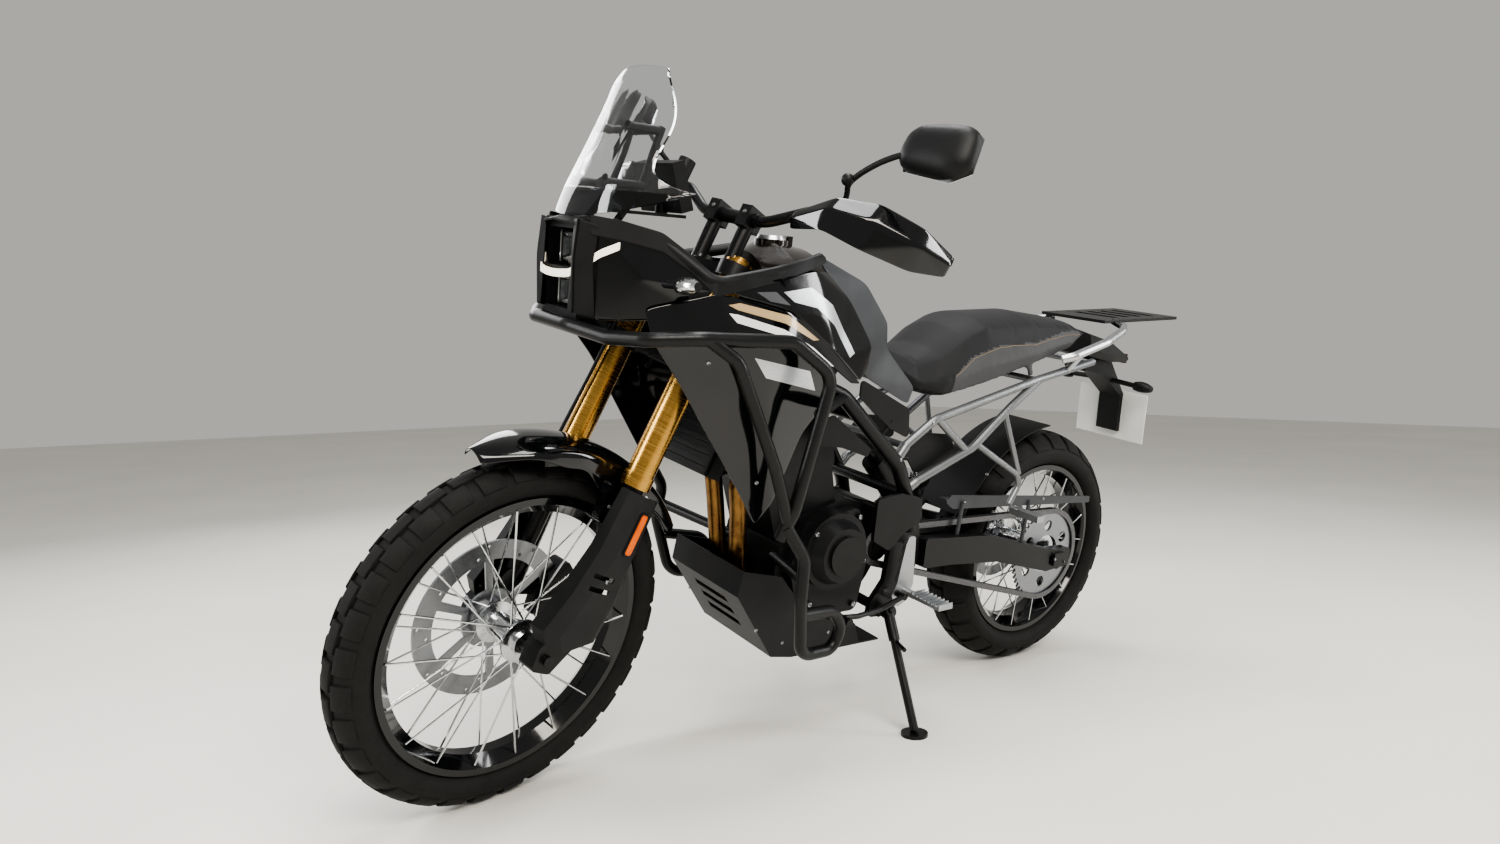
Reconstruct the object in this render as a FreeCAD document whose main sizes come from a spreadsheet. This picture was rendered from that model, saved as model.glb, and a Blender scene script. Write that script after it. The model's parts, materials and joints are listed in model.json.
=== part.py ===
import FreeCAD, Part
import math
import os
import Sketcher

# Adventure motorcycle, parked on its side stand with the front wheel turned a little to the left.
# The machine is modelled upright in its own frame and then leaned as it parks:
# X runs forward from the rear axle, Y to the rider's left, Z up from the ground, in millimetres.
# The steered parts are modelled along the steering axis, with Z up that axis.

V = FreeCAD.Vector
X_AXIS = V(1, 0, 0)
Y_AXIS = V(0, 1, 0)
Z_AXIS = V(0, 0, 1)

SIZES = [
    # Parking
    ("lean_angle", 10.0),
    ("steer_angle", 12.0),
    ("stand_foot_station", 650.0),
    ("stand_foot_reach", 291.0),
    # Frame points
    ("pivot_station", 560.0),
    ("pivot_height", 405.0),
    ("swingarm_length", 565.4),
    ("swingarm_drop", 78.0),
    ("head_station", 1161.1),
    ("head_height", 950.0),
    ("rake_angle", 25.0),
    ("clamp_offset", 22.0),
    ("axle_lead", 35.0),
    ("fork_length", 691.4),
    ("fork_spread", 104.0),
    # Front wheel
    ("front_tyre_radius", 347.5),
    ("front_tyre_width", 90.0),
    ("front_crown_radius", 50.0),
    ("front_rim_radius", 268.0),
    ("front_rim_width", 68.0),
    ("front_axle_bore", 20.0),
    ("front_disc_radius", 160.0),
    ("front_disc_side", 64.0),
    ("front_disc_inner", 122.0),
    ("front_disc_bore", 26.0),
    ("front_block_half", 13.0),
    ("front_tread_pitches", 32.0),
    # Discs and tread on both wheels
    ("disc_thickness", 5.0),
    ("disc_carrier_radius", 60.0),
    ("disc_carrier_thickness", 6.0),
    ("disc_hole_radius", 3.5),
    ("tread_channel", 5.0),
    ("tread_depth", 7.0),
    ("tread_slot_angle", 2.6),
    # Rear wheel
    ("rear_tyre_radius", 327.0),
    ("rear_tyre_width", 140.0),
    ("rear_crown_radius", 76.0),
    ("rear_rim_radius", 230.0),
    ("rear_rim_width", 104.0),
    ("rear_axle_bore", 20.0),
    ("rear_disc_radius", 120.0),
    ("rear_disc_side", 74.0),
    ("rear_disc_inner", 92.0),
    ("rear_disc_bore", 36.0),
    ("rear_block_half", 18.0),
    ("rear_tread_pitches", 26.0),
    ("rim_depth", 24.0),
    ("spoke_count", 36.0),
    ("spoke_radius", 2.0),
    # Chain drive
    ("chain_pitch", 15.875),
    ("rear_teeth", 48.0),
    ("front_teeth", 16.0),
    ("chain_side", 87.0),
    ("chain_width", 17.0),
    ("chain_height", 14.0),
    ("chain_plate", 3.4),
    ("chain_pin_radius", 3.4),
    ("sprocket_thickness", 6.0),
    ("countershaft_station", 640.0),
    ("countershaft_height", 430.0),
    # Fork
    ("outer_tube_radius", 27.0),
    ("inner_tube_radius", 20.5),
    ("outer_tube_top", 122.0),
    ("outer_tube_bottom", -345.0),
    ("lug_top", -575.0),
    ("clamp_height", 30.0),
    ("upper_clamp_base", 84.0),
    ("lower_clamp_base", -104.0),
    ("stem_radius", 15.0),
    ("head_tube_radius", 27.0),
    ("head_tube_half", 62.0),
    # Handlebar
    ("bar_radius", 11.1),
    ("bar_centre_radius", 14.3),
    ("bar_half_width", 400.0),
    ("bar_clamp_height", 223.0),
    ("bar_clamp_offset", -13.0),
    ("bar_rise", 52.0),
    ("bar_sweep", 112.0),
    ("grip_radius", 16.5),
    ("grip_length", 118.0),
    # Frame and body
    ("spar_radius", 17.0),
    ("subframe_radius", 10.0),
    ("crash_bar_radius", 13.0),
    ("crash_bar_bend", 45.0),
    ("rack_bolt_pitch", 160.0),
    ("rack_bolt_bore", 8.5),
    ("muffler_radius", 50.0),
    ("muffler_sleeve_radius", 25.0),
    ("muffler_outlet_radius", 18.0),
    ("panel_wall", 4.0),
    ("guard_wall", 3.0),
    ("screen_wall", 4.0),
    ("tail_lamp_depth", 14.0),
    ("tail_lamp_width", 84.0),
    ("tail_lamp_height", 26.0),
    ("plate_width", 222.0),
    ("plate_height", 142.0),
    ("plate_thickness", 2.0),
    ("fit", 0.3),
]


def make_sizes(document):
    """The driving dimensions, one row each, with the size's name as the cell's alias."""
    sheet = document.addObject("Spreadsheet::Sheet", "Sizes")
    for row, (name, value) in enumerate(SIZES, start=1):
        sheet.set("A%d" % row, name)
        sheet.set("B%d" % row, repr(value))
        sheet.setAlias("B%d" % row, name)
    document.recompute()
    return sheet


class Dimensions:
    """Reads a driving dimension from the sheet by its name."""

    def __init__(self, sheet):
        self.sheet = sheet

    def __getattr__(self, name):
        return float(self.sheet.get(name))


doc = FreeCAD.newDocument("AdventureMotorcycle")
sizes = make_sizes(doc)
D = Dimensions(sizes)

# Frame points worked out from the driving dimensions
RAKE = math.radians(D.rake_angle)
SWINGARM_REACH = math.sqrt(D.swingarm_length ** 2 - D.swingarm_drop ** 2)
REAR_AXLE = V(D.pivot_station - SWINGARM_REACH, 0, D.pivot_height - D.swingarm_drop)
PIVOT = V(D.pivot_station, 0, D.pivot_height)
COUNTERSHAFT = V(D.countershaft_station, 0, D.countershaft_height)
HEAD = V(D.head_station, 0, D.head_height)
FORK_PLACE = FreeCAD.Placement(HEAD, FreeCAD.Rotation(Y_AXIS, -D.rake_angle))
FRONT_AXLE_LOCAL = V(D.clamp_offset + D.axle_lead, 0, -D.fork_length)
REAR_PITCH_RADIUS = D.chain_pitch / (2 * math.sin(math.pi / D.rear_teeth))
FRONT_PITCH_RADIUS = D.chain_pitch / (2 * math.sin(math.pi / D.front_teeth))


# Shape helpers

def bent_wire(points, bend):
    """Straight runs joined by tangent arcs of the bend radius, or of the largest that fits."""
    edges = []
    start = points[0]
    for index in range(1, len(points) - 1):
        corner = points[index]
        before = points[index - 1] - corner
        after = points[index + 1] - corner
        turn = math.pi - before.getAngle(after)
        if turn < math.radians(1.0):
            continue
        room = 0.45 * min(before.Length, after.Length)
        reach = min(room, bend * math.tan(turn / 2))
        radius = reach / math.tan(turn / 2)
        before.normalize()
        after.normalize()
        enter = corner + before * reach
        leave = corner + after * reach
        middle = before + after
        middle.normalize()
        centre = corner + middle * (radius / math.cos(turn / 2))
        edges.append(Part.makeLine(start, enter))
        edges.append(Part.Arc(enter, centre - middle * radius, leave).toShape())
        start = leave
    edges.append(Part.makeLine(start, points[-1]))
    return Part.Wire(edges)


def tube(points, radius, bend=40.0):
    """A round bar along a bent route."""
    path = bent_wire(points, bend)
    direction = points[1] - points[0]
    circle = Part.Wire(Part.makeCircle(radius, points[0], direction))
    if len(points) == 2:
        return Part.Face(circle).extrude(direction)
    return path.makePipeShell([circle], True, True)


def rod(start, end, radius):
    """A straight round bar between two points."""
    return Part.makeCylinder(radius, (end - start).Length, start, end - start)


def polygon_face(points, corner=0.0):
    """A flat face with its corners rounded where a corner radius is given."""
    if corner <= 0:
        return Part.Face(Part.makePolygon(points + [points[0]]))
    count = len(points)
    enters, leaves, arcs = [], [], []
    for index in range(count):
        here = points[index]
        before = points[index - 1] - here
        after = points[(index + 1) % count] - here
        turn = math.pi - before.getAngle(after)
        reach = min(corner * math.tan(turn / 2), 0.45 * min(before.Length, after.Length))
        radius = reach / math.tan(turn / 2)
        before.normalize()
        after.normalize()
        middle = before + after
        middle.normalize()
        centre = here + middle * (radius / math.cos(turn / 2))
        enters.append(here + before * reach)
        leaves.append(here + after * reach)
        arcs.append(Part.Arc(enters[-1], centre - middle * radius, leaves[-1]).toShape())
    edges = []
    for index in range(count):
        edges.append(arcs[index])
        edges.append(Part.makeLine(leaves[index], enters[(index + 1) % count]))
    return Part.Face(Part.Wire(edges))


def side_plate(outline, y_from, y_to, corner=0.0):
    """A plate seen from the side: its outline in X and Z, its faces at two Y stations."""
    face = polygon_face([V(x, y_from, z) for x, z in outline], corner)
    return face.extrude(V(0, y_to - y_from, 0))


def ring(profile, axis_point=V(0, 0, 0)):
    """A closed profile of (radius, side) points spun about the wheel axis."""
    points = [V(radius, side, 0) for radius, side in profile]
    face = Part.Face(Part.makePolygon(points + [points[0]]))
    solid = face.revolve(V(0, 0, 0), Y_AXIS, 360)
    solid.translate(axis_point)
    return solid


def mirrored(shape):
    """The same shape on the other side of the machine."""
    return shape.mirror(V(0, 0, 0), Y_AXIS)


def pair(shape):
    """A left piece and its right-hand twin."""
    return Part.makeCompound([shape, mirrored(shape)])


def fused(shapes):
    """One solid out of shapes that meet."""
    solid = shapes[0].multiFuse(shapes[1:])
    return solid.removeSplitter()


def boss_to(neighbour, start, end, radius):
    """A round boss from start towards end that stops short of the neighbour by the fit."""
    bar = rod(start, end, radius)
    line = start - end
    line.normalize()
    pieces = bar.cut(neighbour).Solids
    boss = min(pieces, key=lambda piece: piece.distToShape(Part.Vertex(start))[0])
    boss = boss.copy()
    boss.translate(line * D.fit)
    return boss.cut(neighbour)


def folded_panel(points, facets, inward):
    """A moulded panel with creases: flat facets between outer points, and a wall behind them."""
    inner = [point + inward for point in points]
    faces = []
    edge_use = {}
    for facet in facets:
        faces.append(Part.Face(Part.makePolygon([points[i] for i in facet + (facet[0],)])))
        faces.append(Part.Face(Part.makePolygon([inner[i] for i in facet + (facet[0],)])))
        for first, second in zip(facet, facet[1:] + (facet[0],)):
            key = (min(first, second), max(first, second))
            edge_use[key] = edge_use.get(key, 0) + 1
    for (first, second), uses in edge_use.items():
        if uses == 1:
            rim = [points[first], points[second], inner[second], inner[first], points[first]]
            faces.append(Part.Face(Part.makePolygon(rim)))
    shell = Part.makeShell(faces)
    shell.sewShape()
    solid = Part.makeSolid(shell)
    if solid.Volume < 0:
        solid.reverse()
    return solid


def hoop_section(station, low, hip, shoulder, high, half_low, half_hip, half_shoulder):
    """A closed body section across the machine: flat base, sides out to the hips, crowned top."""
    left = [V(station, half_low, low), V(station, half_hip, hip), V(station, half_shoulder, shoulder)]
    right = [V(point.x, -point.y, point.z) for point in reversed(left)]
    crown = Part.Arc(left[2], V(station, 0, high), right[0]).toShape()
    return Part.Wire([
        Part.makeLine(right[2], left[0]),
        Part.makeLine(left[0], left[1]),
        Part.makeLine(left[1], left[2]),
        crown,
        Part.makeLine(right[0], right[1]),
        Part.makeLine(right[1], right[2]),
    ])


def body_loft(sections, ruled=False):
    """A solid through body sections listed from the rear to the front."""
    return Part.makeLoft([hoop_section(*section) for section in sections], True, ruled)


def bowed_shield(rows, inward):
    """A thin shield, bowed across the machine, through rows of a left edge and a middle point."""
    grid = []
    for left, middle in rows:
        arc = Part.Arc(left, middle, V(left.x, -left.y, left.z))
        first, last = arc.FirstParameter, arc.LastParameter
        grid.append([arc.value(first + (last - first) * step / 8) for step in range(9)])
    surface = Part.BSplineSurface()
    surface.interpolate(grid)
    return surface.toShape().extrude(inward)


# Bodies made from sketches, whose sizes follow the sheet

def origin_of(body, role):
    """One of the body's own origin planes or axes."""
    return next(item for item in body.Origin.OriginFeatures if item.Role == role)


def sketch_on(body, name, role="XY_Plane", turn=0.0):
    """An empty sketch on one of the body's origin planes, turned about the axle."""
    sketch = body.newObject("Sketcher::SketchObject", name)
    sketch.AttachmentSupport = [(origin_of(body, role), "")]
    sketch.MapMode = "FlatFace"
    sketch.AttachmentOffset = FreeCAD.Placement(V(0, 0, 0), FreeCAD.Rotation(Y_AXIS, turn))
    return sketch


def draw_outline(sketch, corners):
    """A closed outline of straight sides, each joined to the next."""
    first = sketch.GeometryCount
    count = len(corners)
    for index in range(count):
        start, end = corners[index], corners[(index + 1) % count]
        sketch.addGeometry(Part.LineSegment(V(*start, 0), V(*end, 0)))
    for index in range(count):
        after = first + (index + 1) % count
        sketch.addConstraint(Sketcher.Constraint("Coincident", first + index, 2, after, 1))


def draw_circle(sketch, size, centre=(0.0, 0.0)):
    """A circle whose radius is a size of the sheet."""
    index = sketch.addGeometry(Part.Circle(V(*centre, 0), Z_AXIS, getattr(D, size)))
    radius = sketch.addConstraint(Sketcher.Constraint("Radius", index, getattr(D, size)))
    sketch.setExpression("Constraints[%d]" % radius, "Sizes." + size)


def revolve(body, name, sketch, angle=360.0, kind="PartDesign::Revolution"):
    """A sketch spun about its upright axis, all the way or evenly to both sides."""
    feature = body.newObject(kind, name)
    feature.Profile = sketch
    feature.ReferenceAxis = (sketch, ["V_Axis"])
    feature.Angle = angle
    feature.Midplane = angle < 360.0
    doc.recompute()
    return feature


def pad(body, name, sketch, length, kind="PartDesign::Pad"):
    """A sketch given a length from the sheet, half of it to each side of its plane."""
    feature = body.newObject(kind, name)
    feature.Profile = sketch
    feature.SideType = "Symmetric"
    feature.setExpression("Length", length)
    doc.recompute()
    return feature


def around(body, name, feature, count):
    """A feature repeated evenly about the body's Y axis."""
    pattern = body.newObject("PartDesign::PolarPattern", name)
    pattern.Originals = [feature]
    pattern.Axis = (origin_of(body, "Y_Axis"), [""])
    pattern.Angle = 360
    pattern.Refine = False
    pattern.setExpression("Occurrences", count)
    body.Tip = pattern
    doc.recompute()
    return pattern


# Wheels, each about its own centre with the axle along Y

def tyre(wheel):
    """A tyre: its carcass, two channels round it, and slots that leave three rows of tread blocks."""
    radius = getattr(D, wheel + "_tyre_radius")
    half = getattr(D, wheel + "_tyre_width") / 2
    crown = getattr(D, wheel + "_crown_radius")
    rim_radius = getattr(D, wheel + "_rim_radius")
    block = getattr(D, wheel + "_block_half")
    pitches = "Sizes." + wheel + "_tread_pitches"
    seat = getattr(D, wheel + "_rim_width") / 2 - 7 - D.fit
    shoulder_side = half * 0.86
    depth = radius - rim_radius
    base = rim_radius + D.fit
    bead = rim_radius + RIM_LIP + 3
    above = radius + 6

    def crown_at(side):
        return radius - crown + math.sqrt(crown ** 2 - side ** 2)

    def floor_at(side):
        return crown_at(side) - D.tread_depth

    def at(level, side):
        return V(level, side, 0)

    body = doc.addObject("PartDesign::Body", wheel + "_tyre")
    section = sketch_on(body, "CarcassSection")
    between = (block + shoulder_side) / 2
    wall = [(base, seat), (bead, seat), (rim_radius + 0.24 * depth, half * 0.95),
            (rim_radius + 0.42 * depth, half), (rim_radius + 0.58 * depth, half * 0.97),
            (crown_at(shoulder_side), shoulder_side), (crown_at(between), between), (crown_at(block), block)]
    for start, end in zip(wall, wall[1:]):
        section.addGeometry(Part.LineSegment(at(*start), at(*end)))
        section.addGeometry(Part.LineSegment(at(start[0], -start[1]), at(end[0], -end[1])))
    section.addGeometry(Part.Arc(at(crown_at(block), -block), at(radius, 0), at(crown_at(block), block)))
    section.addGeometry(Part.LineSegment(at(base, seat), at(base, -seat)))
    revolve(body, "Carcass", section)

    channels = sketch_on(body, "ChannelSection")
    edge = block + D.tread_channel
    for side in (-1, 1):
        draw_outline(channels, [(floor_at(block), side * block), (floor_at(edge), side * edge),
                                (above, side * edge), (above, side * block)])
    revolve(body, "TreadChannels", channels, kind="PartDesign::Groove")

    middle = sketch_on(body, "MiddleSlotSection")
    draw_outline(middle, [(floor_at(0), -block - 1), (floor_at(0), block + 1),
                          (above, block + 1), (above, -block - 1)])
    slot = revolve(body, "MiddleSlot", middle, D.tread_slot_angle, "PartDesign::Groove")
    around(body, "MiddleSlots", slot, pitches)

    half_pitch = 180.0 / getattr(D, wheel + "_tread_pitches")
    shoulders = sketch_on(body, "ShoulderSlotSection", turn=half_pitch)
    outside = shoulder_side + 6
    for side in (-1, 1):
        draw_outline(shoulders, [(floor_at(edge - 1), side * (edge - 1)), (floor_at(shoulder_side), side * outside),
                                 (above, side * outside), (above, side * (edge - 1))])
    slot = revolve(body, "ShoulderSlots", shoulders, D.tread_slot_angle * 1.3, "PartDesign::Groove")
    around(body, "ShoulderSlotRows", slot, pitches)
    return body


def block_phase(place, pitches):
    """The turn about the axle that puts a tread block where the tyre stands on the floor."""
    down = place.Rotation.inverted().multVec(V(0, 0, -1))
    lowest = math.degrees(math.atan2(-down.z, down.x))
    return FreeCAD.Placement(V(0, 0, 0), FreeCAD.Rotation(Y_AXIS, lowest - 180.0 / pitches))


RIM_LIP = 9.0


def rim(wheel):
    """A spoked rim: flanges outside the tyre's beads and a well in the middle."""
    radius = getattr(D, wheel + "_rim_radius")
    half = getattr(D, wheel + "_rim_width") / 2
    wall = 4.0
    lip = radius + RIM_LIP
    floor = radius - D.rim_depth
    body = doc.addObject("PartDesign::Body", wheel + "_rim")
    section = sketch_on(body, "RimSection")
    draw_outline(section, [
        (radius, -half + 7), (lip, -half + 5), (lip, -half), (radius - wall, -half),
        (floor, -half * 0.35), (floor, half * 0.35), (radius - wall, half),
        (lip, half), (lip, half - 5), (radius, half - 7),
        (floor + wall, half * 0.30), (floor + wall, -half * 0.30),
    ])
    revolve(body, "RimRing", section)
    return body


def spoke(start, end, radius):
    """A wire spoke, hexagonal so that many of them stay light."""
    direction = end - start
    length = direction.Length
    corners = [V(radius * math.cos(a), radius * math.sin(a), 0)
               for a in [math.radians(60 * k) for k in range(7)]]
    solid = Part.Face(Part.makePolygon(corners)).extrude(V(0, 0, length))
    solid.Placement = FreeCAD.Placement(start, FreeCAD.Rotation(Z_AXIS, direction))
    return solid


def wire_wheel_centre(hub_radius, hub_half, flange_radius, bore, rim_radius, rim_width, left, right):
    """A hub with two flanges, and crossed spokes out to the rim's edges.

    The hub's left and right ends are faces, given as (side, radius), that a disc or sprocket bolts to.
    """
    hub = ring([
        (bore / 2, -right[0]), (right[1], -right[0]), (right[1], -right[0] + 8), (hub_radius, -hub_half + 12),
        (flange_radius, -hub_half + 14), (flange_radius, -hub_half + 20),
        (hub_radius, -hub_half + 24), (hub_radius, hub_half - 24),
        (flange_radius, hub_half - 20), (flange_radius, hub_half - 14),
        (hub_radius, hub_half - 12), (left[1], left[0] - 8), left[::-1], (bore / 2, left[0]),
    ])
    count = int(round(D.spoke_count))
    cross = math.radians(34.0)
    end_side = rim_width / 2 - 5
    end_radius = rim_radius - 4 - (D.rim_depth - 4) * 5 / (0.65 * rim_width / 2) - 1.6
    pieces = [hub]
    for index in range(count):
        side = 1 if index % 2 == 0 else -1
        lean = 1 if index % 4 < 2 else -1
        rim_angle = 2 * math.pi * index / count
        hub_angle = rim_angle + lean * cross
        start = V((flange_radius - 5) * math.cos(hub_angle), side * (hub_half - 17),
                  (flange_radius - 5) * math.sin(hub_angle))
        end = V(end_radius * math.cos(rim_angle), side * end_side,
                end_radius * math.sin(rim_angle))
        pieces.append(spoke(start, end, D.spoke_radius))
    return pieces[0].multiFuse(pieces[1:])


def brake_disc(wheel):
    """A drilled brake band, held on its carrier by six arms."""
    inner = getattr(D, wheel + "_disc_inner")
    outer = getattr(D, wheel + "_disc_radius")
    body = doc.addObject("PartDesign::Body", wheel + "_disc")
    band = sketch_on(body, "BandSketch", "XZ_Plane")
    draw_circle(band, wheel + "_disc_radius")
    draw_circle(band, wheel + "_disc_inner")
    pad(body, "BrakeBand", band, "Sizes.disc_thickness")

    arm = sketch_on(body, "ArmSketch", "XZ_Plane")
    start = D.disc_carrier_radius - 3
    draw_outline(arm, [(start, -7), (inner + 3, -9), (inner + 3, 9), (start, 7)])
    around(body, "CarrierArms", pad(body, "CarrierArm", arm, "Sizes.disc_thickness"), "6")

    carrier = sketch_on(body, "CarrierSketch", "XZ_Plane")
    draw_circle(carrier, "disc_carrier_radius")
    draw_circle(carrier, wheel + "_disc_bore")
    pad(body, "Carrier", carrier, "Sizes.disc_carrier_thickness")

    holes = sketch_on(body, "HoleSketch", "XZ_Plane")
    middle = (inner + outer) / 2
    step = (outer - inner) / 4
    for row in (-1, 1):
        reach = middle + row * step
        angle = math.radians(15 + 5 * row)
        draw_circle(holes, "disc_hole_radius", (reach * math.cos(angle), reach * math.sin(angle)))
    drilled = pad(body, "DrilledHoles", holes, "2 * Sizes.disc_thickness", "PartDesign::Pocket")
    around(body, "DrilledRows", drilled, "9")
    return body


def sprocket():
    """The rear sprocket, toothed for the chain's pitch."""
    teeth = int(round(D.rear_teeth))
    valley = REAR_PITCH_RADIUS - 3.8
    tip = REAR_PITCH_RADIUS + 4.2
    half = D.sprocket_thickness / 2
    profile = []
    for index in range(teeth):
        angle = 2 * math.pi * index / teeth
        step = 2 * math.pi / teeth
        for share, level in ((-0.235, valley), (0.235, valley), (0.37, tip), (0.63, tip)):
            a = angle + share * step
            profile.append(V(level * math.sin(a), D.chain_side - half, level * math.cos(a)))
    face = Part.Face(Part.makePolygon(profile + [profile[0]]))
    disc = face.extrude(V(0, 2 * half, 0))
    bore = Part.makeCylinder(52, 4 * half, V(0, D.chain_side - 2 * half, 0), Y_AXIS)
    cuts = [bore]
    for index in range(6):
        window = Part.makeCylinder(15, 4 * half, V(80, D.chain_side - 2 * half, 0), Y_AXIS)
        window.rotate(V(0, 0, 0), Y_AXIS, 60 * index + 30)
        cuts.append(window)
    return disc.cut(cuts)


# The nodes: each keeps its name, its solid and the place of the body that carries it

NODES = []
MADE = {}


def made_object(make):
    """The shape or body that a function makes, made once."""
    if make.__name__ not in MADE:
        MADE[make.__name__] = make()
    return MADE[make.__name__]


def made(make):
    """The shape that a function makes, worked out once."""
    thing = made_object(make)
    return thing if isinstance(thing, Part.Shape) else thing.Shape


def node(label, thing, place):
    """One sub-part of the machine, a body or a plain shape, in the place of what carries it."""
    feature = thing
    if isinstance(thing, Part.Shape):
        feature = doc.addObject("Part::Feature", label)
        feature.Shape = thing
    feature.Label = label
    NODES.append((label, feature, place.multiply(feature.Placement)))


# Steered parts, along the steering axis: X ahead of it, Z up it

def triple_clamps():
    """Upper and lower clamps round the fork tubes, on the steering stem."""
    pieces = []
    for base in (D.lower_clamp_base, D.upper_clamp_base):
        pieces.append(Part.makeCylinder(30, D.clamp_height, V(0, 0, base)))
        web = Part.makeBox(46, 2 * D.fork_spread, D.clamp_height - 6, V(-14, -D.fork_spread, base + 3))
        pieces.append(web)
        for side in (-1, 1):
            pieces.append(Part.makeCylinder(D.outer_tube_radius + 9, D.clamp_height,
                                            V(D.clamp_offset, side * D.fork_spread, base)))
    body = fused(pieces)
    bores = [Part.makeCylinder(D.outer_tube_radius + D.fit, 400, V(D.clamp_offset, side * D.fork_spread, -200))
             for side in (-1, 1)]
    body = body.cut(bores)
    stem_length = D.upper_clamp_base + D.clamp_height - D.lower_clamp_base + 8
    stem = Part.makeCylinder(D.stem_radius, stem_length, V(0, 0, D.lower_clamp_base))
    nut = Part.makeCylinder(D.stem_radius + 5, 10, V(0, 0, D.upper_clamp_base + D.clamp_height))
    return fused([body, stem, nut])


def fork_tubes():
    """The two gold outer tubes with their caps."""
    length = D.outer_tube_top - D.outer_tube_bottom
    base = V(D.clamp_offset, D.fork_spread, D.outer_tube_bottom)
    outer = Part.makeCylinder(D.outer_tube_radius, length, base)
    collar = Part.makeCylinder(D.outer_tube_radius + 3, 26, base)
    bore = Part.makeCylinder(D.inner_tube_radius + D.fit, 60, base)
    cap = Part.makeCylinder(16, 8, V(D.clamp_offset, D.fork_spread, D.outer_tube_top))
    return pair(fused([outer, collar, cap]).cut(bore))


def fork_lowers():
    """Inner tubes, the lugs that hold the axle, and the axle."""
    top = D.outer_tube_bottom + 55
    inner = Part.makeCylinder(D.inner_tube_radius, top - D.lug_top, V(D.clamp_offset, D.fork_spread, D.lug_top))
    lug = Part.makeCylinder(D.inner_tube_radius + 6, 80, V(D.clamp_offset, D.fork_spread, D.lug_top - 60))
    axle_x, axle_z = FRONT_AXLE_LOCAL.x, FRONT_AXLE_LOCAL.z
    foot = side_plate([(D.clamp_offset - 24, D.lug_top - 20), (D.clamp_offset + 24, D.lug_top - 20),
                       (axle_x + 26, axle_z + 16), (axle_x + 22, axle_z - 26),
                       (axle_x - 22, axle_z - 26), (D.clamp_offset - 24, D.lug_top - 70)],
                      D.fork_spread - 21, D.fork_spread + 21, 8)
    leg = fused([inner, lug, foot])
    axle = rod(V(axle_x, -D.fork_spread - 30, axle_z), V(axle_x, D.fork_spread + 30, axle_z),
               D.front_axle_bore / 2 - D.fit)
    return fused([leg, mirrored(leg), axle])


def fork_guards():
    """Moulded guards round the front and outside of each lower leg."""
    outer_side = D.fork_spread + 41

    def section(level, rear, front, wrap):
        outer = [V(rear, outer_side - 14, level), V(rear + 20, outer_side - 2, level),
                 V(front - 34, outer_side, level), V(front - 6, outer_side - 16, level),
                 V(front, wrap, level)]
        inner = [V(front - D.guard_wall, wrap, level), V(front - 9, outer_side - 19, level),
                 V(front - 35, outer_side - D.guard_wall, level),
                 V(rear + 20, outer_side - D.guard_wall - 2, level),
                 V(rear, outer_side - D.guard_wall - 14, level)]
        return Part.makePolygon(outer + inner + [outer[0]])

    levels = [(-352, -26, 58, 112), (-470, -30, 62, 106), (-560, -38, 78, 100), (-640, -30, 104, 96),
              (-664, 16, 84, 100)]
    shell = Part.makeLoft([section(*level) for level in levels], True, True)
    slots = [Part.makeBox(46, 24, 9, V(4, outer_side - 16, level)) for level in (-522, -546)]
    shell = shell.cut(slots)
    strap_from = D.fork_spread + D.inner_tube_radius + 6 + D.fit
    strap = Part.makeBox(12, outer_side - 1 - strap_from, 24, V(D.clamp_offset - 6, strap_from, -618))
    return pair(shell.fuse(strap))


def front_mudguard():
    """A crowned guard close over the front tyre, with a bracket to each fork guard."""
    clear = D.front_tyre_radius + 24
    half = D.front_tyre_width / 2 + 19
    wall = D.guard_wall

    def at(level, side):
        return V(level, side, 0)

    edges = [
        Part.Arc(at(clear, -half), at(clear + 14, 0), at(clear, half)).toShape(),
        Part.makeLine(at(clear, half), at(clear - 22, half + 4)),
        Part.makeLine(at(clear - 22, half + 4), at(clear - 22, half + 4 - wall)),
        Part.makeLine(at(clear - 22, half + 4 - wall), at(clear - wall, half - wall)),
        Part.Arc(at(clear - wall, half - wall), at(clear + 14 - wall, 0), at(clear - wall, wall - half)).toShape(),
        Part.makeLine(at(clear - wall, wall - half), at(clear - 22, wall - half - 4)),
        Part.makeLine(at(clear - 22, wall - half - 4), at(clear - 22, -half - 4)),
        Part.makeLine(at(clear - 22, -half - 4), at(clear, -half)),
    ]
    face = Part.Face(Part.Wire(edges))
    sweep = 76.0
    guard = face.revolve(V(0, 0, 0), Y_AXIS, -sweep)
    guard.rotate(V(0, 0, 0), Y_AXIS, -50.0)
    guard.translate(FRONT_AXLE_LOCAL)
    axle_x, axle_z = FRONT_AXLE_LOCAL.x, FRONT_AXLE_LOCAL.z
    tip_cut = []
    for side in (-1, 1):
        far = side * (half + 30)
        wedge = Part.Face(Part.makePolygon([V(150, far, 0), V(420, far, 0), V(420, 0, 0),
                                            V(308, side * 8, 0), V(150, far, 0)]))
        tip_cut.append(wedge.extrude(V(0, 0, -520)))
    guard = guard.cut(tip_cut)
    bracket_out = D.fork_spread - D.inner_tube_radius - D.fit
    riser = side_plate([(-10, axle_z + 300), (55, axle_z + 300), (60, axle_z + 358), (-5, axle_z + 352)],
                       half - 1, half + 3)
    bracket = side_plate([(-20, axle_z + 250), (50, axle_z + 262), (60, axle_z + 338), (-5, axle_z + 340)],
                         half - 1, bracket_out, 10)
    arm = bracket.fuse(riser)
    return fused([guard, arm, mirrored(arm)])


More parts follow.
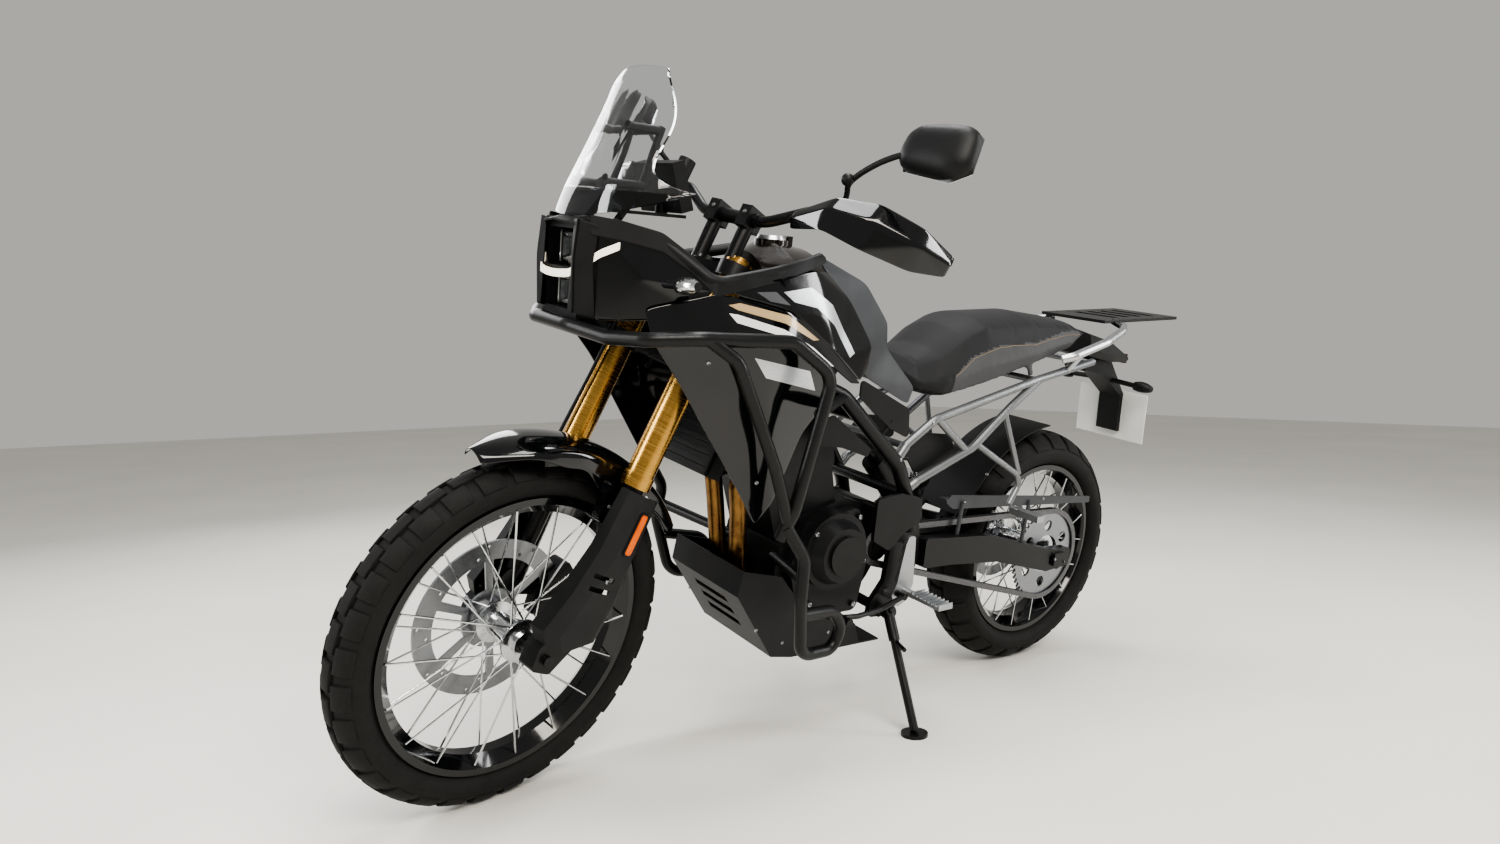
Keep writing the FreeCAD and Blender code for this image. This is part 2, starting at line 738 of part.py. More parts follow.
def handlebar():
    """A tapered bar in clamps on two risers."""
    clamp_x, clamp_z = D.bar_clamp_offset, D.bar_clamp_height
    half = [V(clamp_x, 85, clamp_z), V(clamp_x - 16, 180, clamp_z + D.bar_rise),
            V(clamp_x - D.bar_sweep, D.bar_half_width, clamp_z + D.bar_rise - 4)]
    route = [V(p.x, -p.y, p.z) for p in reversed(half)] + half
    bar = tube(route, D.bar_radius, 80)
    centre = rod(V(clamp_x, -70, clamp_z), V(clamp_x, 70, clamp_z), D.bar_centre_radius)
    pieces = [bar, centre]
    seat = D.upper_clamp_base + D.clamp_height
    for side in (-1, 1):
        pieces.append(rod(V(clamp_x, side * 44, seat), V(clamp_x, side * 44, clamp_z), 15))
        pieces.append(Part.makeBox(46, 28, 44, V(clamp_x - 23, side * 44 - 14, clamp_z - 22)))
    return fused(pieces)


def bar_end_direction():
    """The line of the left grip, from its inner end outward."""
    clamp_x, clamp_z = D.bar_clamp_offset, D.bar_clamp_height
    inner = V(clamp_x - 16, 180, clamp_z + D.bar_rise)
    outer = V(clamp_x - D.bar_sweep, D.bar_half_width, clamp_z + D.bar_rise - 4)
    line = outer - inner
    line.normalize()
    return outer, line


def grips():
    """Rubber grips over the bar's ends."""
    outer, line = bar_end_direction()
    inner = outer - line * D.grip_length
    grip = rod(inner, outer, D.grip_radius)
    flange = rod(inner, inner + line * 6, D.grip_radius + 6)
    bore = rod(inner - line * 5, outer + line * 0, D.bar_radius + D.fit)
    end = rod(outer + line * D.fit, outer + line * 12, D.grip_radius - 1)
    return pair(Part.makeCompound([grip.fuse(flange).cut(bore), end]))


def hand_controls():
    """Switch housings, perches and levers on both sides, with the brake's reservoir."""
    outer, line = bar_end_direction()
    house_end = outer - line * (D.grip_length + 1)
    house = rod(house_end - line * 46, house_end, 21)
    perch = rod(house_end - line * 82, house_end - line * 48, 17)
    ahead = V(34, 0, -4)
    pivot = house_end - line * 60 + ahead
    arm = rod(house_end - line * 66, pivot, 9)
    lever = tube([pivot, pivot + line * 30 + V(16, 0, 0), pivot + line * 90 + V(26, 0, -2),
                  pivot + line * 168 + V(20, 0, -2)], 5.5, 60)
    bore = rod(house_end - line * 90, house_end + line * 5, D.bar_radius + D.fit)
    left = fused([house, perch, arm, lever]).cut(bore)
    right = mirrored(left)
    cup_base = house_end - line * 108 + V(30, 0, 8)
    cup = Part.makeCylinder(19, 38, V(cup_base.x, -cup_base.y, cup_base.z))
    neck = rod(V(cup_base.x, -cup_base.y, cup_base.z + 6), V(pivot.x, -pivot.y, pivot.z), 7)
    return Part.makeCompound([left, fused([right, cup, neck]).cut(mirrored(bore))])


def handguards():
    """Guards in front of the levers, braced to the bar's ends."""
    outer, line = bar_end_direction()
    inset = outer.x
    top = [V(62, 214, 232), V(52, 285, 300), V(12, 352, 312), V(-58, 408, 306), V(inset - 6, 432, 290)]
    low = [V(58, 216, 196), V(60, 285, 214), V(22, 352, 200), V(-56, 412, 206), V(inset - 6, 436, 236)]
    points = top + low
    facets = []
    for index in range(4):
        facets.append((index, index + 1, index + 6))
        facets.append((index, index + 6, index + 5))
    shell = folded_panel(points, facets, V(-D.guard_wall, -D.guard_wall, 0))
    tie_inner = rod(V(57, 220, 214), V(D.bar_clamp_offset - 20 + D.bar_centre_radius, 196, D.bar_clamp_height + D.bar_rise - 4), 7)
    tie_outer = rod(outer + line * 12, outer + line * 34, 7)
    return pair(fused([shell, tie_inner, tie_outer]))


def mirrors():
    """Two mirrors on ball-jointed stems from the lever perches."""
    outer, line = bar_end_direction()
    perch = outer - line * (D.grip_length + 58)
    foot = perch + V(34, 0, 10.6)
    ball = V(24, 262, 322)
    neck = V(36, 356, 384)
    centre = V(30, 422, 400)
    stem = tube([foot, foot + V(4, 6, 22), ball, neck, centre], 5.5, 20)
    knuckle = Part.makeSphere(12, ball)
    nut = rod(foot - V(0, 0, 4), foot + V(0, 0, 12), 10)

    def outline(shift, scale):
        shape = [(-76, -18), (-62, -42), (38, -50), (74, -28), (66, 38), (42, 52), (-50, 44), (-74, 22)]
        return Part.makePolygon([centre + V(shift, y * scale, z * scale) for y, z in shape + shape[:1]])

    head = Part.makeLoft([outline(-18, 1.0), outline(-6, 1.0), outline(18, 0.5)], True, True)
    return pair(fused([stem, knuckle, nut, head]))


def front_caliper():
    """The four-piston caliper behind the right fork leg, over the disc's edge."""
    axle_x, axle_z = FRONT_AXLE_LOCAL.x, FRONT_AXLE_LOCAL.z
    side = -D.front_disc_side
    body = side_plate([(axle_x - 150, axle_z + 30), (axle_x - 96, axle_z + 20), (axle_x - 80, axle_z + 110),
                       (axle_x - 112, axle_z + 150), (axle_x - 158, axle_z + 120)], side - 30, side + 18, 10)
    slot = Part.makeCylinder(D.front_disc_radius + 3, D.disc_thickness + 4,
                             V(axle_x, side - D.disc_thickness / 2 - 2, axle_z), Y_AXIS)
    leg_face = D.clamp_offset - 24 - D.fit
    arm = side_plate([(axle_x - 110, axle_z + 60), (leg_face, axle_z + 50), (leg_face, axle_z + 84),
                      (axle_x - 110, axle_z + 100)], side - 30, side - 20)
    return fused([body.cut(slot), arm])


# Parts of the frame's own body

def main_frame():
    """Steering head, twin spars, pivot plates and cross tubes."""
    head = Part.makeCylinder(D.head_tube_radius, 2 * D.head_tube_half, V(0, 0, -D.head_tube_half))
    bore = Part.makeCylinder(D.stem_radius + D.fit, 4 * D.head_tube_half, V(0, 0, -2 * D.head_tube_half))
    head.Placement = FORK_PLACE
    bore.Placement = FORK_PLACE
    pieces = [head]
    for side in (-1, 1):
        spar = tube([V(D.head_station - 8, side * 22, D.head_height - 25), V(1060, side * 84, 872),
                     V(960, side * 126, 850), V(834, side * 135, 799), V(640, side * 126, 634),
                     V(585, side * 116, 540), V(566, side * 114, 470)], D.spar_radius, 70)
        lower = rod(V(1004, side * 116, 862), V(958, side * 111, 716), D.spar_radius - 3)
        plate = side_plate([(600, 530), (536, 480), (520, 400), (566, 300), (604, 262), (668, 268),
                            (664, 306), (628, 352), (622, 440)], side * 102, side * 116, 12)
        pieces += [spar, lower, plate]
    pieces.append(rod(V(790, -130, 756), V(790, 130, 756), 13))
    pieces.append(rod(V(884, -128, 822), V(884, 128, 822), 12))
    pieces.append(rod(V(617, -118, 566), V(617, 118, 566), 13))
    pieces.append(rod(V(636, -104, 286), V(636, 104, 286), 12))
    pieces.append(rod(V(PIVOT.x, -114, PIVOT.z), V(PIVOT.x, 114, PIVOT.z), 9.7))
    pieces.append(rod(V(632, -122, 652), V(632, 122, 652), 13))
    axis = stand_axis()
    pieces.append(rod(STAND_PIVOT - axis * 26, STAND_PIVOT + axis * 16, 6))
    pieces.append(rod(STAND_PIVOT - axis * 26, V(636, 106, 286), 12))
    return fused(pieces).cut(bore)


def subframe():
    """Painted tubes that carry the seat, the tail and the passenger's pegs."""
    pieces = []
    for side in (-1, 1):
        upper = tube([V(624, side * 124, 677), V(540, side * 128, 735), V(190, side * 124, 818),
                      V(-60, side * 104, 858)], D.subframe_radius, 60)
        lower = tube([V(574, side * 122, 588), V(406, side * 134, 661), V(277, side * 128, 756),
                      V(170, side * 122, 822)], D.subframe_radius, 60)
        brace = rod(V(530, side * 127, 735), V(424, side * 132, 654), D.subframe_radius - 1)
        hanger = tube([V(392, side * 136, 668), V(300, side * 146, 616), V(226, side * 152, 575),
                       V(272, side * 158, 515)], D.subframe_radius - 2, 30)
        link = rod(V(300, side * 132, 738), V(240, side * 150, 588), D.subframe_radius - 3)
        upper_lug = boss_to(made(main_frame), V(622, side * 124, 678), V(650, side * 126, 644), 12)
        lower_lug = boss_to(made(main_frame), V(572, side * 122, 589), V(602, side * 117, 566), 12)
        pieces += [upper, lower, brace, hanger, link, upper_lug, lower_lug]
    for station, level, reach in ((190, 818, 124), (-50, 856, 104), (624, 677, 124)):
        pieces.append(rod(V(station, -reach, level), V(station, reach, level), D.subframe_radius - 2))
    return fused(pieces)


def engine_block():
    """Crankcase, inclined cylinders and head of the parallel twin, with the drive sprocket."""
    case = side_plate([(712, 545), (700, 300), (740, 285), (896, 285), (940, 332), (944, 420), (936, 470),
                       (900, 530), (760, 560)], -98, 98, 14)
    gearbox = side_plate([(640, 530), (610, 470), (660, 440), (610, 400), (640, 350), (690, 290),
                          (760, 290), (760, 545), (700, 545)], -66, 66, 14)
    barrel = side_plate([(776, 530), (940, 478), (978, 592), (806, 650)], -86, 86)
    head = side_plate([(804, 640), (982, 584), (1002, 650), (978, 712), (938, 740), (850, 768), (818, 716)],
                      -96, 96, 8)
    shaft = rod(V(COUNTERSHAFT.x, 60, COUNTERSHAFT.z), V(COUNTERSHAFT.x, D.chain_side + 8, COUNTERSHAFT.z), 14)
    drive = rod(V(COUNTERSHAFT.x, D.chain_side - 3, COUNTERSHAFT.z),
                V(COUNTERSHAFT.x, D.chain_side + 3, COUNTERSHAFT.z),
                FRONT_PITCH_RADIUS - D.chain_pin_radius - 1)
    return fused([case, gearbox, barrel, head, shaft, drive])


def engine_side_covers():
    """The generator cover on the left and the clutch cover on the right."""
    centre_x, centre_z = 820, 460
    left_base = 98 + D.fit
    left = Part.makeCylinder(86, 52, V(centre_x, left_base, centre_z), Y_AXIS)
    left_step = Part.makeCone(74, 60, 30, V(centre_x, left_base + 52, centre_z), Y_AXIS)
    left_disc = Part.makeCylinder(44, 7, V(centre_x, left_base + 82, centre_z), Y_AXIS)
    skirt = side_plate([(700, 420), (740, 545), (890, 524), (924, 430), (890, 304), (720, 300)],
                       left_base, left_base + 26, 20)
    right = Part.makeCylinder(92, 48, V(760, -left_base, 440), V(0, -1, 0))
    right_step = Part.makeCone(76, 66, 26, V(760, -left_base - 48, 440), V(0, -1, 0))
    right_skirt = side_plate([(680, 400), (700, 520), (890, 524), (924, 430), (890, 304), (700, 300)],
                             -left_base, -left_base - 26, 20)
    left_bolts = [(742, 524), (880, 506), (904, 430), (864, 338), (734, 318), (718, 420)]
    right_bolts = [(714, 502), (880, 506), (904, 430), (864, 338), (716, 318), (700, 400)]
    left_heads = [rod(V(x, left_base + 20, z), V(x, left_base + 32, z), 7) for x, z in left_bolts]
    right_heads = [rod(V(x, -left_base - 20, z), V(x, -left_base - 32, z), 7) for x, z in right_bolts]
    return Part.makeCompound([fused([left, left_step, left_disc, skirt] + left_heads),
                              fused([right, right_step, right_skirt] + right_heads), sprocket_cover_plate()])


def sprocket_cover_plate():
    """The cover outside the drive sprocket, on its boss from the crankcase."""
    plate = side_plate([(712, 566), (640, 574), (572, 556), (566, 506), (618, 478), (660, 440), (712, 470)],
                       140, 150, 12)
    boss = Part.makeBox(14, 140 + 4 - 98 - D.fit, 60, V(698, 98 + D.fit, 486))
    return fused([plate, boss])


def radiator():
    """The radiator, leaning with the fork, with a barred grille in front."""
    low, high = V(1159, 0, 650), V(1075, 0, 830)
    up = high - low
    reach = up.Length
    up.normalize()
    core = side_plate([(1160, 650), (1076, 830), (1048, 818), (1132, 638)], -130, 130)
    grille = side_plate([(1166, 653), (1082, 833), (1075, 830), (1159, 650)], -126, 126)
    count = 9
    gap = 12.0
    openings = []
    for index in range(count):
        opening = Part.makeBox(40, 236, gap, V(-20, -118, -gap / 2))
        middle = low + up * (reach * (index + 0.5) / count)
        opening.Placement = FreeCAD.Placement(middle, FreeCAD.Rotation(Z_AXIS, up))
        openings.append(opening)
    arms = [boss_to(made(main_frame), V(1062, side * 112, 770), V(960, side * 112, 760), 6)
            for side in (-1, 1)]
    return fused([core, grille.cut(openings)] + arms)


MUFFLER_INLET = V(290, -204, 428)
MUFFLER_TAIL = V(-130, -216, 580)
MUFFLER_LINE = (MUFFLER_TAIL - MUFFLER_INLET).normalize()


def exhaust_pipes():
    """Two bronze header pipes that meet under the engine and run to the right."""
    port = V(992.5, 0, 617)
    out = V(0.956, 0, -0.292)
    pieces = []
    for side in (-1, 1):
        start = port + out * D.fit + V(0, side * 46, 0)
        pieces.append(tube([start, start + out * 34, V(1014, side * 44, 540), V(1000, side * 36, 420),
                            V(962, side * 30, 305), V(905, -20 + side * 24, 254), V(760, -52, 250)], 19, 60))
    rear = tube([V(780, -52, 250), V(690, -62, 248), V(590, -84, 244), V(500, -150, 268),
                 MUFFLER_INLET - MUFFLER_LINE * 150, MUFFLER_INLET - MUFFLER_LINE * 34], 21, 90)
    return fused(pieces + [rear])


def muffler():
    """The silencer on the right, up beside the rear wheel, spun about its own line."""
    length = (MUFFLER_TAIL - MUFFLER_INLET).Length
    radius, sleeve, outlet = D.muffler_radius, D.muffler_sleeve_radius, D.muffler_outlet_radius
    bore = 21 + D.fit
    body = doc.addObject("PartDesign::Body", "muffler")
    section = sketch_on(body, "SilencerSection")
    draw_outline(section, [
        (bore, -66), (sleeve, -66), (sleeve, -50), (radius, 0), (radius, 30), (radius + 2, 32), (radius + 2, 44),
        (radius, 46), (radius, length - 40), (radius + 2, length - 38), (radius + 2, length - 4), (radius, length),
        (radius - 14, length + 36), (outlet, length + 36), (outlet, length + 58), (outlet - 4, length + 58),
        (outlet - 4, length + 20), (0, length + 20), (0, -30), (bore, -30),
    ])
    revolve(body, "SilencerCan", section)
    body.Placement = FreeCAD.Placement(MUFFLER_INLET, FreeCAD.Rotation(Y_AXIS, MUFFLER_LINE))
    doc.recompute()
    return body


SKID_HALF = 130


def skid_plate():
    """The pressed bash plate under the engine."""
    wall = 4
    outline = [(1050, 440), (1059, 385), (958, 234), (900, 222), (640, 214), (640, 214 + wall),
               (900, 222 + wall), (955, 239), (1054, 386), (1046, 440)]
    pan = side_plate(outline, -SKID_HALF, SKID_HALF)
    slots = [Part.makeBox(130, 120, 14, V(950, -60, level)) for level in (284, 314, 344)]
    pan = pan.cut(slots)
    cheek_outline = [(1050, 440), (1059, 385), (958, 234), (900, 222), (700, 216), (720, 268),
                     (860, 310), (948, 414)]
    left = side_plate(cheek_outline, SKID_HALF - wall, SKID_HALF)
    posts = [boss_to(made(engine_block), V(station, reach, 218), V(station, reach, 320), 8)
             for station in (780, 860) for reach in (-90, 62)]
    return fused([pan, left, mirrored(left)] + posts)


def crash_bars():
    """One continuous guard round the nose, the fairing and the engine."""
    bend = D.crash_bar_bend
    radius = D.crash_bar_radius
    half_nose = [V(1438, 66, 934), V(1404, 150, 924), V(1366, 222, 930), V(1290, 262, 938), V(1092, 272, 934),
                 V(998, 280, 872), V(1052, 272, 612), V(1062, 250, 552)]
    nose = [V(p.x, -p.y, p.z) for p in reversed(half_nose)] + half_nose
    pieces = [tube(nose, radius, bend)]
    for side in (-1, 1):
        diagonal = tube([V(1272, side * 262, 938), V(1215, side * 278, 900), V(1110, side * 276, 700),
                         V(1056, side * 264, 585)], radius - 1, bend)
        hoop = tube([V(1060, side * 262, 580), V(1012, side * 270, 510), V(1018, side * 278, 430),
                     V(985, side * 256, 296), V(890, side * 244, 288), V(872, side * 246, 336),
                     V(905, side * 250, 378), V(1002, side * 268, 392)], radius, bend)
        upper_tie = boss_to(made(main_frame), V(1018, side * 276, 800), V(834, side * 135, 799), radius - 2)
        lower_tie = boss_to(made(engine_block), V(1016, side * 272, 470), V(930, side * 70, 440), radius - 2)
        pieces += [diagonal, hoop, upper_tie, lower_tie]
    return fused(pieces)


def fuel_tank():
    """The tank, crowned on top, narrow at the knees."""
    sections = [
        (752, 856, 920, 972, 1000, 96, 112, 84), (820, 856, 950, 1024, 1062, 104, 132, 104),
        (900, 856, 960, 1052, 1096, 100, 146, 118), (975, 876, 970, 1058, 1104, 88, 146, 116),
        (1030, 896, 980, 1040, 1082, 66, 118, 80),
    ]
    body = body_loft(sections, True)
    collar = Part.makeCylinder(CAP_RADIUS + 4, CAP_SEAT.z - 1080, V(CAP_SEAT.x, 0, 1080))
    ears = [Part.makeBox(12, 5, 24, CAP_HINGE + V(-6, side * 10 - 2.5, -19)) for side in (-1, 1)]
    pin = rod(CAP_HINGE - V(0, 12, 0), CAP_HINGE + V(0, 12, 0), 1.5)
    feet = [boss_to(made(main_frame), V(884, side * 50, 864), V(884, side * 50, 822), 10) for side in (-1, 1)]
    return fused([body, collar, pin] + ears + feet)


CAP_RADIUS = 31
CAP_SEAT = V(960, 0, 1108)
CAP_HINGE = V(919, 0, 1112)


def tank_filler_cap():
    """The hinged filler cap, shut on the collar of the tank."""
    lid = Part.makeCone(CAP_RADIUS, CAP_RADIUS - 3, 8, CAP_SEAT + V(0, 0, D.fit))
    tongue = Part.makeBox(18, 12, 5, V(CAP_HINGE.x + 1, -6, CAP_SEAT.z + D.fit + 1))
    knuckle = rod(CAP_HINGE - V(0, 7, 0), CAP_HINGE + V(0, 7, 0), 4)
    bore = rod(CAP_HINGE - V(0, 20, 0), CAP_HINGE + V(0, 20, 0), 1.5 + D.fit / 3)
    return fused([lid, tongue, knuckle]).cut(bore)


def tank_side_panels():
    """Gloss panels beside the tank."""
    points = [V(1196, 211, 1012), V(1090, 208, 1042), V(985, 190, 1058), V(940, 168, 1056),
              V(880, 174, 1004), V(810, 176, 915), V(816, 178, 868), V(846, 190, 842),
              V(925, 204, 900), V(1055, 214, 984), V(960, 204, 980)]
    facets = [(0, 1, 9), (1, 2, 10), (1, 10, 9), (2, 3, 4), (2, 4, 10), (4, 5, 8), (4, 8, 10),
              (5, 6, 7), (5, 7, 8), (8, 9, 10)]
    panel = folded_panel(points, facets, V(0, -D.panel_wall, 0))
    bosses = [boss_to(made(fuel_tank), V(station, reach, level), V(station, 40, level), 6)
              for station, reach, level in ((940, 172, 1010), (850, 176, 930))]
    return pair(fused([panel] + bosses))


def side_fairings():
    """Upper side fairings, bulging outward beside the radiator."""
    points = [V(1345, 168, 975), V(1227, 214, 1010), V(1196, 214, 1008), V(1055, 218, 980),
              V(925, 208, 896), V(846, 194, 838), V(880, 206, 842), V(960, 228, 884),
              V(1090, 244, 930), V(1200, 240, 925), V(1335, 184, 925)]
    facets = [(0, 1, 10), (1, 9, 10), (1, 2, 9), (2, 3, 9), (3, 8, 9), (3, 7, 8), (3, 4, 7),
              (4, 6, 7), (4, 5, 6)]
    panel = folded_panel(points, facets, V(0, -D.panel_wall, 0))
    boss = boss_to(made(main_frame), V(1000, 214, 930), V(1000, 116, 862), 7)
    return pair(fused([panel, boss]))


def radiator_cowls():
    """Lower cowls that cover the radiator's sides and end in a point."""
    points = [V(1334, 182, 922), V(1200, 236, 922), V(1090, 240, 927), V(962, 224, 881),
              V(930, 210, 826), V(1000, 208, 745), V(1052, 204, 610), V(1090, 202, 568),
              V(1128, 198, 630), V(1268, 178, 842), V(1110, 226, 800)]
    facets = [(0, 1, 9), (1, 2, 10), (1, 10, 9), (2, 3, 10), (3, 4, 10), (4, 5, 10), (5, 6, 10),
              (6, 7, 8), (6, 8, 10), (8, 9, 10)]
    panel = folded_panel(points, facets, V(0, -D.panel_wall, 0))
    boss = boss_to(made(radiator), V(1116, 208, 730), V(1116, 60, 730), 7)
    return pair(fused([panel, boss]))


def fairing_rail():
    """The left rail along the fairing's top edge, from the nose to the tank."""
    route = [V(1372, 86, 1112), V(1306, 134, 1096), V(1226, 202, 1026), V(1092, 194, 1050),
             V(1000, 170, 1068), V(950, 150, 1080)]
    return tube(route, 12, 40)


def knee_panels():
    """Satin panels at the tank's waist."""
    points = [V(938, 148, 1066), V(928, 128, 1084), V(800, 128, 1036), V(722, 124, 955), V(718, 128, 898),
              V(622, 128, 812), V(640, 132, 775), V(800, 150, 846), V(806, 160, 916), V(876, 160, 1006)]
    facets = [(0, 1, 2), (0, 2, 9), (2, 3, 9), (3, 8, 9), (3, 4, 8), (4, 7, 8), (4, 5, 7), (5, 6, 7)]
    panel = folded_panel(points, facets, V(0, -D.panel_wall, 0))
    boss = boss_to(made(fuel_tank), V(800, 140, 960), V(800, 40, 950), 6)
    return pair(fused([panel, boss]))


def side_covers():
    """Dark covers under the tank and seat, and the blade over the cylinder head."""
    frame = made(main_frame)
    upper = side_plate([(800, 838), (648, 768), (640, 700), (700, 726), (800, 800)], 144, 148, 8)
    upper_boss = boss_to(frame, V(696, 146, 744), V(716, 129, 699), 5)
    blade = side_plate([(915, 742), (860, 762), (744, 682), (752, 664), (830, 690), (900, 700)], 138, 142, 8)
    blade_boss = boss_to(made(engine_block), V(860, 141, 730), V(860, 60, 730), 6)
    rear = side_plate([(600, 650), (556, 700), (456, 690), (430, 640), (560, 600)], 102, 106, 10)
    rear_boss = boss_to(frame, V(590, 103, 640), V(640, 100, 650), 5)
    return pair(Part.makeCompound([fused([upper, upper_boss]), fused([blade, blade_boss]),
                                   fused([rear, rear_boss])]))


CHEEK = [V(1316, 134, 1092), V(1316, 120, 968), V(1250, 196, 986), V(1232, 206, 1018)]


def cheek_panel(lift, depth):
    """The left cheek beside the lamps, as a panel of the given depth."""
    points = [point + V(0, lift, 0) for point in CHEEK]
    return folded_panel(points, [(0, 1, 2), (0, 2, 3)], V(0, -depth, 0))


def nose_fairing():
    """The lamps' surround, its cheeks and the rails back to the tank."""

    def section(station, low, high, half_low, half_high):
        corners = [V(station, half_low, low), V(station, half_high, high), V(station, -half_high, high),
                   V(station, -half_low, low)]
        return Part.makePolygon(corners + corners[:1])

    body = Part.makeLoft([section(1316, 962, 1096, 118, 136), section(1424, 944, 1119, 66, 74)], True, True)
    hollow = Part.makeBox(200, 124, 142, V(1300, -62, 958))
    frame = body.cut(hollow)
    cheek = cheek_panel(0, D.panel_wall)
    bridge = Part.makeBox(22, 124, 12, V(1408, -62, 1020))
    beam = Part.makeBox(8, 128, 30, V(1317, -64, 1000))
    stay = boss_to(made(main_frame), V(1321, 0, 1015), HEAD, 12)
    rail = fairing_rail()
    return fused([frame, cheek, mirrored(cheek), bridge, beam, stay, rail, mirrored(rail)])


def headlamp():
    """Two stacked lamp bodies."""
    upper = Part.makeBox(60, 100, 56, V(1338, -50, 1038))
    lower = Part.makeBox(60, 100, 50, V(1338, -50, 962))
    back = Part.makeBox(12, 124 - 2 * D.fit, 142 - 2 * D.fit, V(1328, -62 + D.fit, 958 + D.fit))
    return fused([upper, lower, back])


def headlamp_glass():
    """The clear covers of the two lamps and the light band between them."""
    upper = Part.makeBox(5, 112, 58, V(1398 + D.fit, -56, 1037))
    lower = Part.makeBox(5, 112, 54, V(1398 + D.fit, -56, 960))
    return Part.makeCompound([upper, lower])


SCREEN_ROWS = [
    (V(1275, 190, 1177), V(1421, 0, 1123)),
    (V(1325, 132, 1226), V(1394, 0, 1200)),
    (V(1296, 132, 1282), V(1358, 0, 1278)),
    (V(1290, 126, 1330), V(1326, 0, 1344)),
    (V(1284, 86, 1388), V(1298, 0, 1396)),
]


def windscreen():
    """The tall clear screen, bowed across the machine."""
    return bowed_shield(SCREEN_ROWS, V(-D.screen_wall, 0, 0))


def cockpit():
    """The display, and the bracket that carries it and the screen above the nose."""
    left = tube([V(1366, 58, 1098), V(1306, 58, 1180), V(1270, 56, 1290)], 7, 40)
    post = left.cut(made(nose_fairing))
    post = max(post.Solids, key=lambda piece: piece.Volume)
    post.translate(V(0, 0, D.fit))
    cross = rod(V(1306, -58, 1180), V(1306, 58, 1180), 6)
    upper = rod(V(1272, -56, 1284), V(1272, 56, 1284), 6)
    shelf = Part.makeBox(138, 116, 6, V(1206, -58, 1134))
    stay = rod(V(1226, 0, 1138), V(1226, 0, 1180), 12)
    pads = []
    for side in (-1, 1):
        for station, reach, level in ((1304, 60, 1184), (1272, 56, 1284)):
            pads.append(boss_to(made(windscreen), V(station, side * reach, level),
                                V(station + 130, side * reach, level), 8))
    return fused([post, mirrored(post), cross, upper, shelf, stay, display_case()] + pads)


def display_case():
    """The instrument behind the screen, leaning towards the rider."""
    case = Part.makeBox(26, 150, 92, V(-13, -75, -46))
    case.Placement = FreeCAD.Placement(V(1228, 0, 1190), FreeCAD.Rotation(Y_AXIS, 18))
    return case


def front_indicator():
    """The left front turn signal on its short stalk."""
    stalk = rod(V(1300, 130, 1018), V(1300, 222, 1022), 7).cut(cheek_panel(D.fit, 90))
    lamp = Part.makeLoft([
        Part.Wire(Part.makeCircle(13, V(1306, 214, 1022), V(0, 1, 0))),
        Part.Wire(Part.makeCircle(15, V(1304, 232, 1023), V(0, 1, 0))),
        Part.Wire(Part.makeCircle(8, V(1300, 262, 1025), V(0, 1, 0))),
    ], True, False)
    return fused([stalk, lamp])


def indicators():
    """The four turn signals."""
    left = Part.makeCompound([front_indicator(), rear_indicator()])
    return pair(left)


def seat():
    """The two-level seat."""
    sections = [
        (-35, 930, 936, 942, 951, 86, 92, 78), (40, 894, 912, 942, 962, 108, 120, 98),
        (207, 850, 880, 946, 977, 122, 134, 108), (380, 806, 850, 940, 968, 124, 136, 110),
        (450, 792, 830, 908, 940, 124, 134, 108), (520, 782, 812, 868, 892, 122, 130, 102),
        (580, 794, 816, 854, 870, 104, 112, 86), (655, 846, 862, 884, 896, 84, 90, 64),
        (700, 900, 912, 928, 944, 72, 78, 52), (728, 950, 956, 966, 984, 62, 66, 42),
    ]
    body = body_loft(sections, True)
    feet = [boss_to(made(subframe), V(210, side * 117, 858), V(210, side * 124, 814), 9) for side in (-1, 1)]
    return fused([body] + feet)


def grab_rails():
    """Cast grab rails beside the tail."""
    rail = tube([V(118, 138, 872), V(96, 156, 882), V(-30, 158, 918), V(-120, 140, 946), V(-160, 112, 954)],
                11, 30)
    foot = boss_to(made(subframe), V(60, 152, 888), V(60, 114, 839), 9)
    return pair(fused([rail, foot]))


RACK_UP = V(16, 0, 340).normalize()
RACK_MIDDLE = V(-262, 0, 976)


def luggage_rack():
    """The slotted rack over the tail, drilled for luggage."""
    deck = side_plate([(-90, 968), (-430, 984), (-430, 976), (-90, 960)], -102, 102)
    slots = [Part.makeBox(26, 130, 60, V(-150 - 56 * k, -65, 940)) for k in range(1, 5)]
    holes = [rod(point - RACK_UP * 20, point + RACK_UP * 20, D.rack_bolt_bore / 2) for point in rack_bolts()]
    feet = [boss_to(made(grab_rails), V(-140, side * 88, 966), V(-140, side * 132, 950), 7)
            for side in (-1, 1)]
    return fused([deck.cut(slots + holes)] + feet)


def rack_bolts():
    """The middles of the four luggage bolt holes, on the deck's upper face."""
    along = V(-RACK_UP.z, 0, RACK_UP.x)
    return [RACK_MIDDLE + (along * fore + V(0, side, 0)) * (D.rack_bolt_pitch / 2)
            for fore in (-1, 1) for side in (-1, 1)]


def tail_panels():
    """Tail covers below the rack and round the tail lamp."""
    body = body_loft([(-300, 846, 856, 862, 870, 50, 56, 52), (-200, 850, 870, 900, 912, 66, 74, 66),
                      (-72, 872, 890, 926, 938, 80, 88, 78)], True)
    bosses = [boss_to(made(subframe), V(-84, side * 60, 884), V(-50, side * 60, 856), 9) for side in (-1, 1)]
    return fused([body, plate_hanger()] + bosses)


